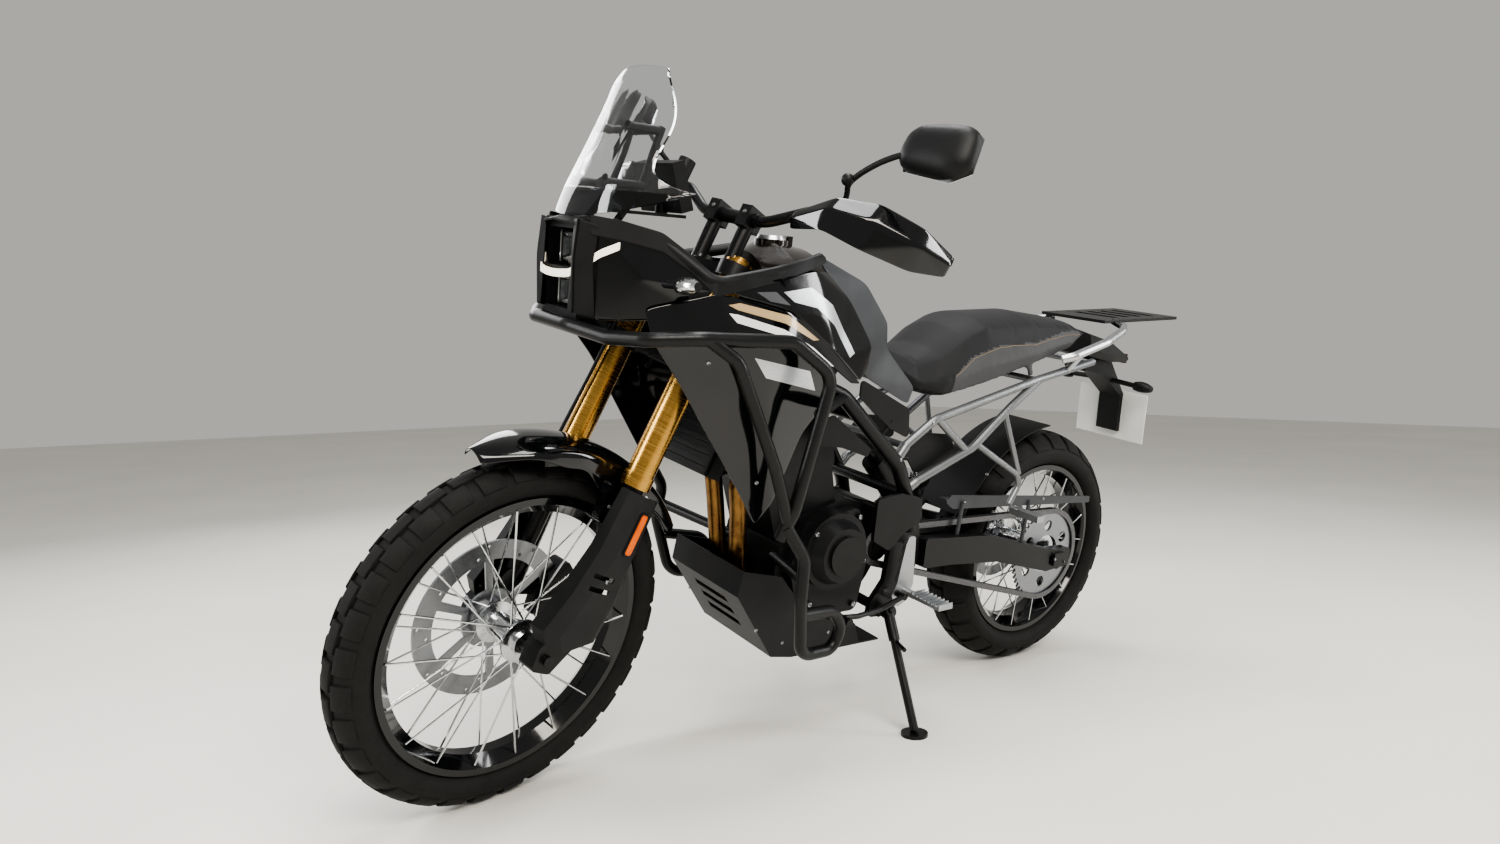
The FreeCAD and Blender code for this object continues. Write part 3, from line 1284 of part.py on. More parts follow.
def tail_lamp():
    """The tail and brake lamp."""
    lamp = doc.addObject("Part::Box", "tail_lamp")
    lamp.setExpression("Length", "Sizes.tail_lamp_depth")
    lamp.setExpression("Width", "Sizes.tail_lamp_width")
    lamp.setExpression("Height", "Sizes.tail_lamp_height")
    doc.recompute()
    lamp.Placement = FreeCAD.Placement(V(-314.3, -D.tail_lamp_width / 2, 842), FreeCAD.Rotation())
    return lamp


def plate_hanger():
    """The hanger that carries the number plate."""
    return side_plate([(-120, 850), (-250, 850), (-337, 750), (-345.8, 640), (-331, 640), (-322, 744),
                       (-230, 806), (-140, 820)], -34, 34)


def number_plate():
    """A blank plate, leaning with its hanger."""
    plate = doc.addObject("Part::Box", "number_plate")
    plate.setExpression("Length", "Sizes.plate_thickness")
    plate.setExpression("Width", "Sizes.plate_width")
    plate.setExpression("Height", "Sizes.plate_height")
    doc.recompute()
    tilt = FreeCAD.Rotation(Y_AXIS, 4.6)
    corner = V(-350, 0, 617) + tilt.multVec(V(0, -D.plate_width / 2, 0))
    plate.Placement = FreeCAD.Placement(corner, tilt)
    return plate


def rear_indicator():
    """The left rear turn signal on its stalk."""
    stalk = rod(V(-272, 34 + 3 * D.fit, 792), V(-278, 110, 788), 7)
    lamp = Part.makeLoft([
        Part.Wire(Part.makeCircle(12, V(-276, 104, 788), V(0, 1, 0))),
        Part.Wire(Part.makeCircle(15, V(-278, 124, 788), V(0, 1, 0))),
        Part.Wire(Part.makeCircle(8, V(-282, 152, 786), V(0, 1, 0))),
    ], True, False)
    return fused([stalk, lamp])


def swingarm():
    """Arms outside the chain line, a cross brace and the pivot sleeve."""
    pieces = []
    for side in (-1, 1):
        arm = side_plate([(520, 446), (300, 428), (30, 356), (-54, 350), (-54, 302), (40, 296),
                          (250, 352), (420, 368), (520, 372)], side * 104, side * 132, 8)
        slot = Part.makeBox(64, 60, 21, V(REAR_AXLE.x - 32, side * 118 - 30, REAR_AXLE.z - 10.5))
        arm = arm.cut(slot)
        neck = side_plate([(512, 440), (588, 426), (588, 384), (512, 374)], side * 70, side * 92)
        link = side_plate([(500, 442), (520, 440), (520, 374), (500, 374)], side * 70, side * 106)
        pieces += [arm, neck, link]
    pieces.append(Part.makeBox(140, 146, 60, V(372, -73, 376)))
    pieces.append(rod(V(PIVOT.x, -92, PIVOT.z), V(PIVOT.x, 92, PIVOT.z), 22))
    body = fused(pieces)
    bore = rod(V(PIVOT.x, -120, PIVOT.z), V(PIVOT.x, 120, PIVOT.z), 10)
    axle = rod(V(REAR_AXLE.x, -140, REAR_AXLE.z), V(REAR_AXLE.x, 140, REAR_AXLE.z),
               D.rear_axle_bore / 2 - D.fit)
    blocks = [Part.makeBox(40, 8, 34, V(REAR_AXLE.x - 20, side * 136 - 4, REAR_AXLE.z - 17))
              for side in (-1, 1)]
    return fused([body.cut(bore), axle] + blocks)


def chain_guard():
    """The guard over the chain, with its struts."""
    top = side_plate([(440, 520), (420, 536), (-148, 480), (-150, 462), (410, 500)], 100, 104, 6)
    lip = side_plate([(440, 528), (-140, 472), (-140, 469), (440, 525)], 82, 104)
    struts = [boss_to(made(swingarm), V(station, 106, level), V(station + 20, 114, 380), 5)
              for station, level in ((380, 516), (120, 494))]
    return fused([top, lip] + struts)


def chain():
    """Side plates round both sprockets, joined by a pin at every pitch."""
    half = D.chain_height / 2
    gap = COUNTERSHAFT - REAR_AXLE
    distance = gap.Length
    tilt = math.atan2(gap.z, gap.x)
    spread = math.acos((REAR_PITCH_RADIUS - FRONT_PITCH_RADIUS) / distance)
    up, down = tilt + spread, tilt - spread

    def at(centre, radius, angle, side):
        return V(centre.x + radius * math.cos(angle), side, centre.z + radius * math.sin(angle))

    def loop(offset, side):
        big, small = REAR_PITCH_RADIUS + offset, FRONT_PITCH_RADIUS + offset
        return Part.Wire([
            Part.Arc(at(REAR_AXLE, big, up, side), at(REAR_AXLE, big, tilt + math.pi, side),
                     at(REAR_AXLE, big, down, side)).toShape(),
            Part.makeLine(at(REAR_AXLE, big, down, side), at(COUNTERSHAFT, small, down, side)),
            Part.Arc(at(COUNTERSHAFT, small, down, side), at(COUNTERSHAFT, small, tilt, side),
                     at(COUNTERSHAFT, small, up, side)).toShape(),
            Part.makeLine(at(COUNTERSHAFT, small, up, side), at(REAR_AXLE, big, up, side)),
        ])

    plate = D.chain_plate
    near = D.chain_side - D.chain_width / 2
    far = D.chain_side + D.chain_width / 2 - plate
    pieces = []
    for side in (near, far):
        band = Part.Face(loop(half, side)).extrude(V(0, plate, 0))
        pieces.append(band.cut(Part.Face(loop(-half, side)).extrude(V(0, plate, 0))))
    for pin in chain_pins(tilt, spread):
        pin.y = near + plate / 2
        pieces.append(chain_pin(pin, D.chain_width - plate))
    return pieces[0].multiFuse(pieces[1:])


def chain_pins(tilt, spread):
    """Pin centres: on the rear sprocket's valleys, and evenly along the runs between."""
    step = 2 * math.pi / D.rear_teeth
    first = math.ceil((tilt + spread) / step)
    last = math.floor((tilt + 2 * math.pi - spread) / step)
    pins = [V(REAR_AXLE.x + REAR_PITCH_RADIUS * math.cos(k * step), 0,
              REAR_AXLE.z + REAR_PITCH_RADIUS * math.sin(k * step)) for k in range(first, last + 1)]
    lower = COUNTERSHAFT + V(math.cos(tilt - spread), 0, math.sin(tilt - spread)) * FRONT_PITCH_RADIUS
    upper = COUNTERSHAFT + V(math.cos(tilt + spread), 0, math.sin(tilt + spread)) * FRONT_PITCH_RADIUS
    for start, end in ((pins[-1], lower), (pins[0], upper)):
        run = end - start
        count = int(round(run.Length / D.chain_pitch))
        pins += [start + run * (k / count) for k in range(1, count + 1)]
    return pins


def chain_pin(start, length):
    """One four-sided bush across the chain."""
    size = D.chain_pin_radius
    corners = [start + V(size, 0, 0), start + V(0, 0, size), start - V(size, 0, 0), start - V(0, 0, size)]
    return Part.Face(Part.makePolygon(corners + corners[:1])).extrude(V(0, length, 0))


def rear_shock():
    """The single shock between the swingarm's brace and the frame's cross tube."""
    lower = V(440, 0, 436 + D.fit)
    upper = V(632, 0, 652)
    line = upper - lower
    line.normalize()
    upper = upper - line * (13 + D.fit)
    foot = Part.makeBox(40, 30, 14, lower - V(20, 15, 0))
    body = rod(lower + V(0, 0, 8), upper, 11)
    spring = rod(lower + line * 50, upper - line * 40, 29)
    return fused([foot, body, spring])


def rear_mudguard():
    """The hugger and the inner mudguard over the rear wheel."""
    clear = D.rear_tyre_radius + 30
    wall = D.guard_wall
    half = D.rear_tyre_width / 2 + 6
    profile = [V(clear, -half, 0), V(clear + wall, -half, 0), V(clear + wall, half, 0), V(clear, half, 0)]
    face = Part.Face(Part.makePolygon(profile + profile[:1]))
    guard = face.revolve(V(0, 0, 0), Y_AXIS, -62)
    guard.rotate(V(0, 0, 0), Y_AXIS, -22)
    guard.translate(REAR_AXLE)
    stays = [boss_to(made(swingarm), V(333, side * 60, 468), V(392, side * 60, 420), 6)
             for side in (-1, 1)]
    return fused([guard] + stays)


def footpeg_bracket():
    """The cast bracket of the left rider's peg."""
    plate = side_plate([(584, 468), (604, 470), (612, 452), (626, 362), (640, 330), (618, 300), (592, 312),
                        (574, 350), (582, 440)], 146, 156, 8)
    boss_high = rod(V(597, 116 + D.fit, 454), V(597, 150, 454), 10)
    boss_low = rod(V(618, 116 + D.fit, 322), V(618, 150, 322), 10)
    return fused([plate, boss_high, boss_low])


def footpegs():
    """Serrated rider's pegs on cast brackets, and the passenger's pegs."""
    base = Part.makeBox(44, 92, 8, V(566, 182, 334))
    teeth = [Part.makeBox(44, 3, 8, V(566, 186 + 12 * k, 340)) for k in range(8)]
    neck = rod(V(600, 150, 338), V(600, 190, 338), 9)
    rider = fused([footpeg_bracket(), base, neck] + teeth)
    rear = Part.makeBox(26, 84, 16, V(256, 172, 496))
    rear_neck = rod(V(270, 166 + D.fit, 506), V(270, 176, 506), 8)
    return pair(Part.makeCompound([rider, fused([rear, rear_neck])]))


def foot_controls():
    """Gear lever on the left, brake pedal on the right."""
    lever = tube([V(624, 178, 336), V(700, 182, 318), V(780, 196, 322), V(834, 200, 330)], 6, 40)
    toe = rod(V(834, 196, 330), V(834, 232, 330), 9)
    boss = rod(V(624, 156 + D.fit, 336), V(624, 184, 336), 8)
    pedal = tube([V(624, -178, 336), V(720, -186, 308), V(820, -196, 312)], 7, 40)
    pad = Part.makeBox(34, 30, 8, V(806, -226, 314))
    pedal_boss = rod(V(624, -156 - D.fit, 336), V(624, -184, 336), 8)
    return Part.makeCompound([fused([lever, toe, boss]), fused([pedal, pad, pedal_boss])])


def rear_caliper():
    """The rear caliper above the disc on the right."""
    side = -D.rear_disc_side
    body = side_plate([(60, 392), (130, 372), (142, 420), (80, 440)], side - 22, side + 16, 8)
    slot = Part.makeCylinder(D.rear_disc_radius + 3, D.disc_thickness + 4,
                             V(REAR_AXLE.x, side - D.disc_thickness / 2 - 2, REAR_AXLE.z), Y_AXIS)
    bracket = boss_to(made(swingarm), V(100, side - 12, 400), V(100, -118, 340), 9)
    return fused([body.cut(slot), bracket])


# Parking: the machine is pitched until both tyres touch the floor, and leaned towards its stand

def steered_place(lean_place):
    """The place of the steered parts: along the steering axis and turned by the steering angle."""
    turn = FreeCAD.Placement(V(0, 0, 0), FreeCAD.Rotation(Z_AXIS, D.steer_angle))
    return lean_place.multiply(FORK_PLACE).multiply(turn)


def wheel_drop(place, centre, radius, crown):
    """Height of a leaned tyre's lowest point."""
    middle = place.multVec(centre)
    axle = place.Rotation.multVec(Y_AXIS)
    return middle.z - (radius - crown) * math.sqrt(1 - axle.z ** 2) - crown


def parked_place():
    """Lean, pitch and lift that stand both tyres on the floor."""
    pitch, lift = 0.0, 0.0
    for _ in range(20):
        lean = FreeCAD.Placement(V(0, 0, lift), FreeCAD.Rotation(X_AXIS, -D.lean_angle))
        tip = FreeCAD.Placement(V(0, 0, 0), FreeCAD.Rotation(Y_AXIS, pitch))
        place = lean.multiply(tip)
        rear = wheel_drop(place, REAR_AXLE, D.rear_tyre_radius, D.rear_crown_radius)
        front = wheel_drop(steered_place(place), FRONT_AXLE_LOCAL, D.front_tyre_radius,
                           D.front_crown_radius)
        base = D.head_station + D.fork_length * math.sin(RAKE)
        pitch += math.degrees((front - rear) / base)
        lift -= rear
    return place


CHASSIS_PLACE = parked_place()
STEERED_PLACE = steered_place(CHASSIS_PLACE)
FRONT_WHEEL_PLACE = STEERED_PLACE.multiply(FreeCAD.Placement(FRONT_AXLE_LOCAL, FreeCAD.Rotation()))
REAR_WHEEL_PLACE = CHASSIS_PLACE.multiply(FreeCAD.Placement(REAR_AXLE, FreeCAD.Rotation()))

# The stand's pivot on the frame, and its foot on the floor
STAND_PIVOT = V(626, 138, 284)
STAND_FOOT = CHASSIS_PLACE.inverse().multVec(V(D.stand_foot_station, D.stand_foot_reach, 0))


def side_stand():
    """The stand's leg, its foot flat on the floor, and the fork round its pivot."""
    floor_up = CHASSIS_PLACE.inverse().Rotation.multVec(Z_AXIS)
    ankle = STAND_FOOT + floor_up * 12
    axis = stand_axis()
    knee = STAND_PIVOT + (ankle - STAND_PIVOT) * 0.25
    boss = rod(STAND_PIVOT - axis * 12, STAND_PIVOT + axis * 12, 15)
    bore = rod(STAND_PIVOT - axis * 20, STAND_PIVOT + axis * 20, 6 + D.fit)
    leg = rod(STAND_PIVOT, ankle, 10)
    collar = rod(STAND_PIVOT, knee, 13)
    foot = Part.makeCylinder(30, 8, STAND_FOOT, floor_up)
    toe = rod(knee, knee + V(10, 44, -4), 5)
    return fused([boss, collar, leg, foot, toe]).cut(bore)


def stand_axis():
    """The tilted pivot that swings the leg from the floor to the machine's side."""
    down = STAND_FOOT - STAND_PIVOT
    down.normalize()
    folded = V(-1, 0, 0.08)
    folded.normalize()
    axis = down.cross(folded)
    axis.normalize()
    return axis


def wheels():
    """Both wheels: tyre, rim, hub with spokes, discs and sprocket."""
    seat_depth = D.disc_carrier_thickness / 2 + D.fit
    sprocket_seat = D.chain_side - D.sprocket_thickness / 2 - D.fit
    front_hub = wire_wheel_centre(24, 60, 42, D.front_axle_bore, D.front_rim_radius, D.front_rim_width,
                                  (60, 24), (D.front_disc_side - seat_depth, 38))
    rear_hub = wire_wheel_centre(34, 70, 58, D.rear_axle_bore, D.rear_rim_radius, D.rear_rim_width,
                                 (sprocket_seat, 62), (D.rear_disc_side - seat_depth, 48))
    for wheel, place, hub in (("front", FRONT_WHEEL_PLACE, front_hub), ("rear", REAR_WHEEL_PLACE, rear_hub)):
        phase = block_phase(place, getattr(D, wheel + "_tread_pitches"))
        disc_place = FreeCAD.Placement(V(0, -getattr(D, wheel + "_disc_side"), 0), FreeCAD.Rotation())
        node(wheel + "_tyre", tyre(wheel), place.multiply(phase))
        node(wheel + "_rim", rim(wheel), place)
        node(wheel + "_hub_and_spokes", hub, place)
        node(wheel + "_disc", brake_disc(wheel), place.multiply(disc_place))
    node("rear_sprocket", sprocket(), REAR_WHEEL_PLACE)


def build():
    """Makes every node on the body that carries it."""
    chassis = [main_frame, subframe, engine_block, engine_side_covers, radiator, exhaust_pipes,
               muffler, skid_plate, crash_bars, fuel_tank, tank_filler_cap, tank_side_panels,
               side_fairings, radiator_cowls, knee_panels, side_covers, nose_fairing, headlamp,
               headlamp_glass, windscreen, cockpit, indicators, seat, grab_rails, luggage_rack,
               tail_panels, tail_lamp, number_plate, swingarm, chain_guard, chain, rear_shock,
               rear_mudguard, footpegs, foot_controls, rear_caliper, side_stand]
    steered = [triple_clamps, fork_tubes, fork_lowers, fork_guards, front_mudguard, handlebar,
               grips, hand_controls, handguards, mirrors, front_caliper]
    for make in chassis:
        node(make.__name__, made_object(make), CHASSIS_PLACE)
    for make in steered:
        node(make.__name__, made_object(make), STEERED_PLACE)
    wheels()


def settle_origin():
    """Puts the origin under the middle of the whole machine, on the floor."""
    box = FreeCAD.BoundBox()
    for label, feature, place in NODES:
        feature.Placement = place
        box.add(feature.Shape.BoundBox)
    shift = FreeCAD.Placement(V(-box.Center.x, -box.Center.y, 0), FreeCAD.Rotation())
    for label, feature, place in NODES:
        feature.Placement = shift.multiply(place)
    return shift


def check_and_export():
    """Refuses a failed object, then writes one file for each node."""
    doc.recompute()
    for item in doc.Objects:
        if "Invalid" in item.State or "Error" in item.State:
            raise RuntimeError("failed object: " + item.Name)
    bad = [label for label, feature, place in NODES
           if feature.Shape.isNull() or not feature.Shape.isValid() or not feature.Shape.Solids]
    if bad:
        raise RuntimeError("bad shapes: " + ", ".join(bad))
    os.makedirs("parts", exist_ok=True)
    for label, feature, place in NODES:
        feature.Shape.exportStep(os.path.join("parts", label + ".step"))


def report(shift):
    """Prints the points that the joints and mounts are stated at."""
    chassis = shift.multiply(CHASSIS_PLACE)
    steered = shift.multiply(STEERED_PLACE)

    def show(name, point, axis):
        print(name, [round(value, 3) for value in point], [round(value, 5) for value in axis])

    show("steering", steered.Base, steered.Rotation.multVec(Z_AXIS))
    show("front_axle", steered.multVec(FRONT_AXLE_LOCAL), steered.Rotation.multVec(Y_AXIS))
    show("rear_axle", chassis.multVec(REAR_AXLE), chassis.Rotation.multVec(Y_AXIS))
    show("stand", chassis.multVec(STAND_PIVOT), chassis.Rotation.multVec(stand_axis()))
    show("filler_cap", chassis.multVec(CAP_HINGE), chassis.Rotation.multVec(-Y_AXIS))
    show("rack_bolts", chassis.multVec(RACK_MIDDLE), chassis.Rotation.multVec(RACK_UP))
    show("up", chassis.Base, chassis.Rotation.multVec(Z_AXIS))


build()
SHIFT = settle_origin()
check_and_export()
report(SHIFT)
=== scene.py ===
# %% [markdown]
# Adventure motorcycle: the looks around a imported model
#
# The solid parts of this machine come ready made, at their real size, and this lesson dresses them.
# Every step says what the piece is on the real machine and why it is made the way it is here.

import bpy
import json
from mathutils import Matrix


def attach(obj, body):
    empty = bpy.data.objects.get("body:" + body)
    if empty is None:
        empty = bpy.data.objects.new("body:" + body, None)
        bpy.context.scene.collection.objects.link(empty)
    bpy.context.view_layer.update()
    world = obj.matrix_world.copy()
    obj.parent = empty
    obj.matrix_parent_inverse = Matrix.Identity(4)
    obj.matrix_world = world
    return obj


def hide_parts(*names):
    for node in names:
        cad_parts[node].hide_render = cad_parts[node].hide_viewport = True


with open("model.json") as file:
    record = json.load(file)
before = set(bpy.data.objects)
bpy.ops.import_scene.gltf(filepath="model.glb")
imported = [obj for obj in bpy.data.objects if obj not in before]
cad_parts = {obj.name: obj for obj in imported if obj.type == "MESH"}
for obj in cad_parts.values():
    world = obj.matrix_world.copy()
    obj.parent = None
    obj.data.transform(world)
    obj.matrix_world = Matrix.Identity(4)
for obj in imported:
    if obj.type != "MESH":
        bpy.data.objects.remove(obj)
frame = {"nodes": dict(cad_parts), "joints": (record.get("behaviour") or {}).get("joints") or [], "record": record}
print("the packed model has", len(frame["nodes"]), "nodes")

# %% [markdown]
# The modules are loaded, and the imported parts and their joints are kept by name.

# %% Modules, parts and joints
import json
import math

import bmesh
import bpy
from mathutils import Matrix, Vector
from mathutils.bvhtree import BVHTree

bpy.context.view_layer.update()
nodes = frame["nodes"]
joints = {joint["name"]: joint for joint in frame["joints"]}

# %% [markdown]
# Two drawing frames
#
# A motorcycle is drawn upright: X ahead of the rear axle, Y to the rider's left, Z up from the floor.
# This one leans on its side stand with the bars turned, so points given in that upright drawing
# have to be turned into the place where they stand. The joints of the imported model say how: the rear
# axle's direction gives the lean, and the steering axis gives the rest. `bike` places a point of the
# machine's drawing, and `fork` a point of the fork's own drawing, whose Z runs up the steering axis.
# `bike_way` and `fork_way` do the same for a direction. Most shapes are given for the left side, and a
# loop over `SIDES` makes the right one too, with its Y turned over.

# %% Places on the leaning machine and on the turned fork
MM = 0.001
SIDES = (1, -1)
RAKE = math.radians(25.0)
REAR_AXLE_HEIGHT = 327.0 * MM


def joint_place(name):
    """A joint's point and direction at rest."""
    joint = joints[name]
    return Vector(joint["pos_m"]), Vector(joint["axis"]).normalized()


rear_axle, rear_axis = joint_place("rear_wheel_spin")
front_axle, front_axis = joint_place("front_wheel_spin")
steer_point, steer_axis = joint_place("steering_hinge")
lean = math.atan2(-rear_axis.z, rear_axis.y)
pitch = RAKE - math.asin(-steer_axis.x)
BIKE = (Matrix.Translation(rear_axle) @ Matrix.Rotation(-lean, 4, "X") @ Matrix.Rotation(pitch, 4, "Y")
        @ Matrix.Translation((0.0, 0.0, -REAR_AXLE_HEIGHT)))
ahead = front_axis.cross(steer_axis).normalized()
FORK = Matrix.Translation(steer_point) @ Matrix((ahead, front_axis, steer_axis)).transposed().to_4x4()


def bike(x, y, z):
    """A point of the upright machine, in millimetres, where it stands."""
    return BIKE @ (Vector((x, y, z)) * MM)


def fork(u, v, w):
    """A point of the fork's drawing, in millimetres, where it stands."""
    return FORK @ (Vector((u, v, w)) * MM)


def bike_way(x, y, z):
    """A direction of the upright machine's drawing, where it stands."""
    return (bike(x, y, z) - bike(0, 0, 0)).normalized()


def fork_way(u, v, w):
    """A direction of the fork's drawing, where it stands."""
    return (fork(u, v, w) - fork(0, 0, 0)).normalized()


print("lean", round(math.degrees(lean), 2), "pitch", round(math.degrees(pitch), 3))

# %% [markdown]
# The camera
#
# It stands where the photographer stood: ahead of the machine on its left, a little below the tank.
# Its place was worked out from the two wheels, whose true size is known, so it is given as a distance
# from the rear axle. The lens is a wide one, and the picture's middle is the lens's middle.

# %% Camera
CAMERA_FROM_REAR_AXLE = Vector((2.1901, 1.7426, 0.5095))
CAMERA_YAW = math.radians(143.977)
CAMERA_DIP = math.radians(3.391)
CAMERA_ROLL = math.radians(-0.707)
SENSOR_WIDTH = 36.0
FOCAL_PIXELS = 970.54
PICTURE_WIDTH = 1500

camera_data = bpy.data.cameras.new("photo_view")
camera_data.sensor_width = SENSOR_WIDTH
camera_data.lens = FOCAL_PIXELS / PICTURE_WIDTH * SENSOR_WIDTH
camera = bpy.data.objects.new("photo_view", camera_data)
bpy.context.scene.collection.objects.link(camera)
forward = Vector((-math.sin(CAMERA_YAW) * math.cos(CAMERA_DIP),
                  math.cos(CAMERA_YAW) * math.cos(CAMERA_DIP), -math.sin(CAMERA_DIP)))
level = Vector((math.cos(CAMERA_YAW), math.sin(CAMERA_YAW), 0.0))
upward = level.cross(forward)
right = math.cos(CAMERA_ROLL) * level + math.sin(CAMERA_ROLL) * upward
top = -math.sin(CAMERA_ROLL) * level + math.cos(CAMERA_ROLL) * upward
camera.matrix_world = (Matrix.Translation(rear_axle + CAMERA_FROM_REAR_AXLE)
                       @ Matrix((right, top, -forward)).transposed().to_4x4())
bpy.context.scene.camera = camera
print("camera at", [round(value, 3) for value in camera.matrix_world.translation])

# %% [markdown]
# Colours and nodes
#
# Colours are picked as sRGB hex values, as a paint chart gives them, and the renderer wants linear
# light, so one function turns one into the other. A second one adds a shader node with its settings
# and its links in one line, which keeps a material as short as the sentence that describes it.

# %% Helpers for materials
PER_METRE = 1000.0


def colour(code):
    """An sRGB hex value as linear red, green, blue and alpha."""
    parts = [int(code[i:i + 2], 16) / 255 for i in (1, 3, 5)]
    linear = [part / 12.92 if part <= 0.04045 else ((part + 0.055) / 1.055) ** 2.4 for part in parts]
    return (*linear, 1.0)


def add(tree, kind, settings=None, links=None):
    """Adds a node, sets its properties or its inputs, and links inputs to other nodes' outputs."""
    made = tree.nodes.new(kind)
    for key, value in (settings or {}).items():
        if isinstance(key, str) and hasattr(made, key):
            setattr(made, key, value)
        else:
            made.inputs[key].default_value = value
    for key, source in (links or {}).items():
        tree.links.new(source, made.inputs[key])
    return made


def blank(name, settings):
    """A material with one Principled shader, and its node tree, shader and object coordinates."""
    material = bpy.data.materials.new(name)
    material.use_nodes = True
    tree = material.node_tree
    tree.nodes.clear()
    shader = add(tree, "ShaderNodeBsdfPrincipled", settings)
    add(tree, "ShaderNodeOutputMaterial", links={"Surface": shader.outputs["BSDF"]})
    place = add(tree, "ShaderNodeTexCoord").outputs["Object"]
    return material, tree, shader, place


def noise(tree, place, size_mm, detail=3.0, rough=0.55):
    """A noise whose spots are about the given size."""
    return add(tree, "ShaderNodeTexNoise", {
        "Scale": PER_METRE / size_mm, "Detail": detail, "Roughness": rough}, {"Vector": place})


def spread(tree, source, low, high):
    """Stretches the middle of a 0 to 1 pattern to the given range."""
    return add(tree, "ShaderNodeMapRange", {
        "From Min": 0.3, "From Max": 0.7, "To Min": low, "To Max": high},
        {"Value": source}).outputs["Result"]


def tint(tree, source, low, high):
    """Goes from one colour to another along a pattern."""
    return add(tree, "ShaderNodeMix", {"data_type": "RGBA", 6: colour(low), 7: colour(high)},
               {0: source}).outputs[2]


def bump(tree, shader, source, height_mm, strength=1.0):
    """Raises a pattern on the surface."""
    raised = add(tree, "ShaderNodeBump", {"Strength": strength, "Distance": height_mm * MM},
                 {"Height": source})
    tree.links.new(raised.outputs["Normal"], shader.inputs["Normal"])


def clouds(tree, shader, place, size_mm, detail, low, high, rough=0.55):
    """Lets the base colour drift between two close colours, and returns the noise that does it."""
    pattern = noise(tree, place, size_mm, detail, rough)
    tree.links.new(tint(tree, spread(tree, pattern.outputs["Fac"], 0.0, 1.0), low, high),
                   shader.inputs["Base Color"])
    return pattern


def vary_roughness(tree, shader, pattern, low, high):
    """Lets the roughness follow a noise."""
    tree.links.new(spread(tree, pattern.outputs["Fac"], low, high), shader.inputs["Roughness"])


print("helpers for materials are ready")

# %% [markdown]
# Moulded plastic, ABS and polypropylene
#
# The black covers are injection moulded against an etched steel tool, which leaves a fine even grain
# and a soft sheen. The grain is about half a millimetre on the part, and it is drawn at 1.5 mm here,
# because finer grain wouldn't show. The glossy panels are ABS from a polished tool under a clear coat:
# dark, mirror-like, with a faint slow waviness that makes long reflections swim. Each material is a
# base colour that drifts in wide clouds, a fine noise in its roughness, and a little relief.

# %% Moulded plastics
def moulded(name, base, worn, rough, grain_mm=1.5, height_mm=0.12):
    """Injection moulded plastic with an even grain."""
    material, tree, shader, place = blank(name, {
        "Roughness": rough, "IOR": 1.49, "Specular IOR Level": 0.24})
    clouds(tree, shader, place, 60.0, 4.0, base, worn)
    grain = noise(tree, place, grain_mm, 2.0)
    vary_roughness(tree, shader, grain, rough - 0.06, rough + 0.08)
    bump(tree, shader, grain.outputs["Fac"], height_mm, 0.6)
    return material


def lacquered(name, base, deep, rough=0.06):
    """Polished plastic under a clear coat, with dust and a slow waviness."""
    material, tree, shader, place = blank(name, {
        "Roughness": rough, "IOR": 1.5, "Specular IOR Level": 0.36,
        "Coat Weight": 0.35, "Coat Roughness": 0.03, "Coat IOR": 1.5})
    clouds(tree, shader, place, 120.0, 2.0, base, deep)
    dust = noise(tree, place, 9.0, 6.0, 0.7)
    vary_roughness(tree, shader, dust, rough, rough + 0.07)
    wave = noise(tree, place, 45.0, 1.0)
    bump(tree, shader, wave.outputs["Fac"], 0.25, 0.35)
    return material


black_moulding = moulded("polypropylene_black", "#0b0c0d", "#121314", 0.48)
dark_moulding = moulded("polypropylene_dark_grey", "#141516", "#1c1d1e", 0.52)
grey_moulding = moulded("abs_satin_grey", "#35373a", "#3d3f42", 0.4)
gloss_black = lacquered("abs_gloss_black", "#050608", "#08090b")
brown_gloss = lacquered("abs_gloss_brown_black", "#120f0d", "#191411", 0.12)
print("plastics", [material.name for material in (black_moulding, dark_moulding, grey_moulding,
                                                  gloss_black, brown_gloss)])

# %% [markdown]
# Paint and powder on steel
#
# Frame, bars, stand and plates are powder coated: the powder melts into a tough skin with a soft
# orange-peel texture and a satin shine. The tail's tubes wear a silver-grey paint with fine metal in it.

# %% Coatings on steel
def powder(name, base, deep, rough, metallic=0.0, peel_mm=3.0):
    """A coat of powder or paint with an orange-peel texture."""
    material, tree, shader, place = blank(name, {
        "Metallic": metallic, "IOR": 1.5, "Specular IOR Level": 0.28})
    clouds(tree, shader, place, 80.0, 4.0, base, deep)
    peel = noise(tree, place, peel_mm, 2.0)
    vary_roughness(tree, shader, peel, rough - 0.05, rough + 0.05)
    bump(tree, shader, peel.outputs["Fac"], 0.1, 0.45)
    return material


black_powder = powder("powder_coat_black", "#090a0b", "#0f1011", 0.36)
engine_paint = powder("engine_paint_black", "#0b0c0d", "#141516", 0.42, 0.15)
silver_paint = powder("metal_flake_paint_grey", "#6d6f71", "#7b7d7f", 0.36, 0.7)
skid_paint = powder("powder_coat_matte_black", "#0f1012", "#17181a", 0.48)
plate_enamel = powder("plate_enamel_white", "#d4d5d3", "#dadbd9", 0.3, 0.0, 5.0)
print("coatings", [material.name for material in (black_powder, engine_paint, silver_paint,
                                                  skid_paint, plate_enamel)])

# %% [markdown]
# Bare and finished metals
#
# Anodised aluminium keeps the turning marks of the lathe under a thin hard dyed layer, so the gold fork
# tubes show fine rings across their length: their noise is stretched across the fork's own axis. Cast
# aluminium is sand or die cast and only blasted: dull, grainy, with brighter rubbed edges. Steel discs
# are ground, steel pipes colour from straw to bronze where they get hot, and spokes are polished wire.

